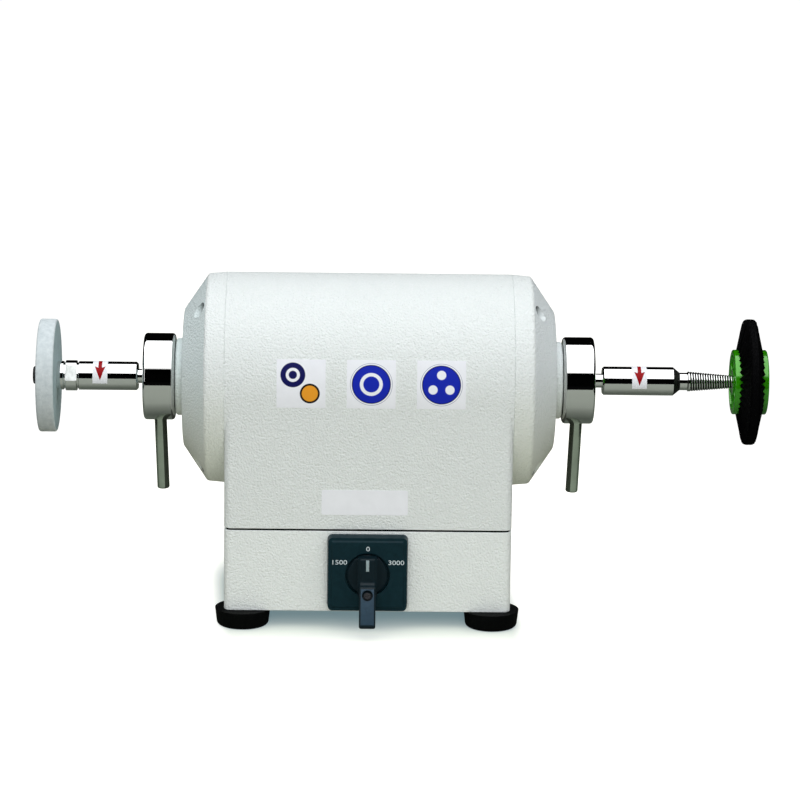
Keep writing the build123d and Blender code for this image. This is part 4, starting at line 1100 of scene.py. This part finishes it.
class LATHE_OT_labels(bpy.types.Operator):
    """Wrap the paper labels round the barrel and the turning arrows round the spindles"""

    bl_idname = "lathe.labels"
    bl_label = "Labels"

    def sign_marks(self, colours):
        """The discs printed on each sign, from the lowest layer up, as middle, radius and colour."""
        paper, navy, blue = colours.paper, colours.navy, colours.blue
        middle, upper, lower = (0.5, 0.5), (0.33, 0.68), (0.68, 0.3)
        rings = ((0.44, colours.hairline), (0.432, paper), (0.405, navy), (0.385, blue))
        disc = [(middle, radius, ink) for radius, ink in rings]
        dots = [
            ((0.5 + 0.2 * math.sin(turn), 0.5 + 0.2 * math.cos(turn)), 0.1, paper) for turn in (0, 2.094, 4.189)
        ]
        return {
            "left_sign": [
                (upper, 0.26, navy),
                (upper, 0.15, paper),
                (upper, 0.09, navy),
                (lower, 0.21, colours.ink),
                (lower, 0.17, colours.amber),
            ],
            "middle_sign": [*disc, (middle, 0.24, paper), (middle, 0.17, blue)],
            "right_sign": [*disc, *dots],
        }

    def make_badge(self, sizes):
        """A flat blank label with rounded corners, on the front of the pedestal."""
        across, height, corner = -0.0026, 0.0968, 0.0015
        place, upright = (across, -barrel_radius, height), (math.radians(90), 0, 0)
        bpy.ops.object.select_all(action="DESELECT")
        bpy.ops.mesh.primitive_plane_add(size=1.0, location=place, rotation=upright)
        badge = bpy.context.object
        badge.name = "blank_label"
        badge.dimensions = (sizes.badge_width, sizes.badge_height, 0)
        bpy.ops.object.transform_apply(location=True, rotation=True, scale=True)
        bpy.ops.object.mode_set(mode="EDIT")
        bpy.ops.mesh.select_all(action="SELECT")
        bpy.ops.mesh.bevel(offset=corner, segments=3, affect="VERTICES")
        bpy.ops.object.mode_set(mode="OBJECT")
        apply_modifier(badge, "SOLIDIFY", thickness=sizes.paper, offset=1.0)
        return badge

    def execute(self, context):
        sizes = context.scene.lathe_sizes
        sign_middle, sign_tilt = 0.0013, math.radians(9.4)
        reach = sizes.sign_size / barrel_radius
        low, high = sign_tilt - reach / 2, sign_tilt - reach / 2 + reach
        for step, (name, marks) in enumerate(self.sign_marks(context.scene.lathe_colours).items()):
            place = sign_middle + (step - 1) * sizes.sign_pitch
            piece = curved_label(name, place, sizes.sign_size, barrel_radius, low, high, steps=16)
            label_paper(name + "_paper", marks)
            settle(piece, name + "_paper", "stand", slot="capacitor_white")
        label_paper("blank_paper")
        settle(self.make_badge(sizes), "blank_paper", "stand", slot="capacitor_white")
        arrow_paper("arrow_paper")
        low, high = math.radians(-20), math.radians(105)
        for name, place, body in (("left_arrow", -0.2034, "left_tool"), ("right_arrow", 0.205, "right_tool")):
            piece = curved_label(name, place, sizes.arrow_width, sleeve_radius, low, high, steps=28)
            settle(piece, "arrow_paper", body, slot="capacitor_white")
        return {"FINISHED"}


class LATHE_OT_stage(bpy.types.Operator):
    """Lay the floor, hang the softbox and the cards that the chrome mirrors, and set the camera"""

    bl_idname = "lathe.stage"
    bl_label = "Stage"

    def board(self, name, side, place, turn=(0, 0, 0)):
        """A square board with a dull material, given back with that material."""
        bpy.ops.object.select_all(action="DESELECT")
        bpy.ops.mesh.primitive_plane_add(size=side, location=place, rotation=turn)
        board = bpy.context.object
        board.name = name
        finish = bpy.data.materials.new(name)
        finish.use_nodes = True
        shader_of(finish).inputs["Roughness"].default_value = 1.0
        shader_of(finish).inputs["Specular IOR Level"].default_value = 0.0
        board.data.materials.append(finish)
        return board, finish

    def card(self, name, size, place, turn, tone, far=None):
        """A flat card that only mirrors show, in one tone or fading to another, far, across the shaft axis."""
        fade_start, fade_end = -0.105, 0.035
        board, finish = self.board(name, 1.0, place, turn)
        board.scale = (*size, 1)
        shader_of(finish).inputs["Base Color"].default_value = (*tone, 1)
        if far:
            tree = finish.node_tree
            along = split(tree, object_place(tree))["Y"]
            start, end = ((edge - place[1]) / size[1] for edge in (fade_start, fade_end))
            recolour(finish, mix_colours(tree, map_range(tree, along, start, end), tone, far))
        for ray in ("camera", "diffuse", "shadow", "transmission"):
            setattr(board, "visible_" + ray, False)

    def lay_floor(self):
        """A pale floor that the camera sees as white away from the lathe, with a painted bluish shadow patch
        under it through which its real shadow shows.
        """
        near, beyond = (0.57, 0.562, 0.455), (0.12, 0.12, 0.1)
        near_middle, near_end, beyond_start = 0.008, 0.205, 0.285
        shadow, white = (0.14, 0.215, 0.24), (1, 1, 1)
        lean, shift_left, shift_front = 0.06, 0.002, 0.0065
        half_length, half_depth, end_sharpness, fade = 0.103, 0.0365, 49.0, 0.136
        floor, finish = self.board("floor", 12.0, (0, 0, 0))
        tree = finish.node_tree
        calc = partial(math_node, tree)
        across, along, _ = split(tree, object_place(tree))

        # Near the lathe the floor throws warm light up on to it, and beyond its ends much less.
        away = calc("ABSOLUTE", calc("SUBTRACT", across, near_middle))
        share = map_range(tree, away, near_end, beyond_start, soft=True)
        recolour(finish, mix_colours(tree, share, near, beyond))

        # What is seen of it is white, but for a painted shadow patch under the base, which fades out faster
        # along its length; the real shadow shows through it.
        shift = calc("ADD", calc("MULTIPLY", along, lean), shift_left)
        off_length = calc("ABSOLUTE", calc("ADD", across, shift))
        off_depth = calc("ABSOLUTE", calc("ADD", along, shift_front))
        past_length = calc("MAXIMUM", calc("SUBTRACT", off_length, half_length), 0.0)
        past_depth = calc("MAXIMUM", calc("SUBTRACT", off_depth, half_depth), 0.0)
        lengthwise = calc("MULTIPLY", calc("MULTIPLY", past_length, past_length), end_sharpness)
        past = calc("SQRT", calc("ADD", lengthwise, calc("MULTIPLY", past_depth, past_depth)))
        glow = mix_colours(tree, map_range(tree, past, 0.0, fade, soft=True), shadow, white)
        tree.links.new(glow, shader_of(finish).inputs["Emission Color"])
        tree.links.new(seen_share(tree), shader_of(finish).inputs["Emission Strength"])

    def light_sky(self, scene):
        """A dim even sky that the camera and the mirrors see as white."""
        world = bpy.data.worlds.new("studio")
        scene.world = world
        world.use_nodes = True
        tree = world.node_tree
        glow = tree.nodes["Background"].inputs
        glow["Color"].default_value = (1, 1, 1, 1)
        level = map_range(tree, seen_share(tree), 0.0, 1.0, scene.lathe_stage.sky, 1.0)
        tree.links.new(level, glow["Strength"])

    def lamp(self, name, place, tilt, size, level, mirrored):
        """A large soft lamp of an even brightness, given as the level that a mirror would show."""
        cool_white = (0.98, 1.0, 1.03)
        bpy.ops.object.light_add(type="AREA", location=place, rotation=tilt)
        box = bpy.context.object
        box.name = name
        box.data.shape = "RECTANGLE"
        box.data.size, box.data.size_y = size
        box.data.energy = math.pi * size[0] * size[1] * level
        box.data.color = cool_white
        box.visible_glossy = mirrored

    def set_camera(self, scene):
        """Aim the camera at the lathe from the front, a little above it."""
        stage = scene.lathe_stage
        down = stage.elevation
        turn = Matrix.Rotation(-stage.yaw, 4, "Z")
        sight = turn @ Vector((0, math.cos(down), -math.sin(down)))
        rise = turn @ Vector((0, math.sin(down), math.cos(down)))
        aim = Vector((stage.aim_right, 0, axis_height)) - rise * stage.aim_down
        bpy.ops.object.camera_add(location=aim - sight * stage.distance)
        camera = bpy.context.object
        camera.name = "camera"
        camera.data.lens = stage.lens
        facing = sight.to_track_quat("-Z", "Y").to_matrix().to_4x4() @ Matrix.Rotation(stage.roll, 4, "Z")
        camera.rotation_euler = facing.to_euler()
        camera.data.clip_end = 50.0
        scene.camera = camera

    def execute(self, context):
        scene = context.scene
        stage = scene.lathe_stage
        scene.view_settings.view_transform = "Standard"
        self.lay_floor()
        black, grey = (0.002, 0.002, 0.002), (0.2, 0.21, 0.19)
        pale, dim = (0.33, 0.355, 0.305), (0.14, 0.16, 0.13)
        flat, upright, endways = (0, 0, 0), (math.radians(90), 0, 0), (0, math.radians(90), 0)
        self.card("front_card", (8, 2.2), (2, -3.0, 0.9), upright, black)
        self.card("front_apron", (8, 2.2), (0, -1.92, 0.001), flat, black)
        self.card("back_card", (8, 1.9), (0, 1.0, 0.95), upright, black)
        for side in (-1, 1):
            self.card("end_card", (0.6, 0.9), (side * 0.62, 0, 0.3), endways, black)
            self.card("side_flag", (0.14, 0.106), (side * 0.1415, 0.027, 0.07), endways, grey)
        self.card("floor_card", (8, 1.82), (0, 0.09, 0.0008), flat, pale, dim)
        self.light_sky(scene)
        self.lamp("softbox", (0, -0.55, 1.45), flat, (3.2, 2.6), stage.softbox, True)
        self.lamp("front_fill", (0.08, -2.6, 0.9), (math.radians(75), 0, 0), (2.2, 1.4), stage.fill, False)
        self.set_camera(scene)
        return {"FINISHED"}


class LATHE_PT_sidebar(bpy.types.Panel):
    """Lists the pieces of the lathe in the order they are made"""

    bl_idname = "LATHE_PT_sidebar"
    bl_label = "Polishing Lathe"
    bl_space_type = "VIEW_3D"
    bl_region_type = "UI"
    bl_category = "Lathe"

    def draw(self, context):
        for kind in operators:
            self.layout.operator(kind.bl_idname)


groups = {"lathe_sizes": LatheSizes, "lathe_colours": LatheColours, "lathe_stage": LatheStage}
operators = (
    LATHE_OT_finishes,
    LATHE_OT_brush_screw,
    LATHE_OT_arbor,
    LATHE_OT_felt_wheel,
    LATHE_OT_brush,
    LATHE_OT_dial,
    LATHE_OT_grip,
    LATHE_OT_labels,
    LATHE_OT_stage,
)


def register():
    """Make the settings, operators and panel known to Blender."""
    for kind in (*groups.values(), *operators, LATHE_PT_sidebar):
        bpy.utils.register_class(kind)
    for name, kind in groups.items():
        setattr(bpy.types.Scene, name, bpy.props.PointerProperty(type=kind))


def unregister():
    """Take them away again."""
    for name in groups:
        delattr(bpy.types.Scene, name)
    for kind in (LATHE_PT_sidebar, *reversed(operators), *reversed(groups.values())):
        bpy.utils.unregister_class(kind)


def main():
    """Make every piece in order."""
    register()
    for kind in operators:
        family, piece = kind.bl_idname.split(".")
        getattr(getattr(bpy.ops, family), piece)()


if __name__ == "__main__":
    main()
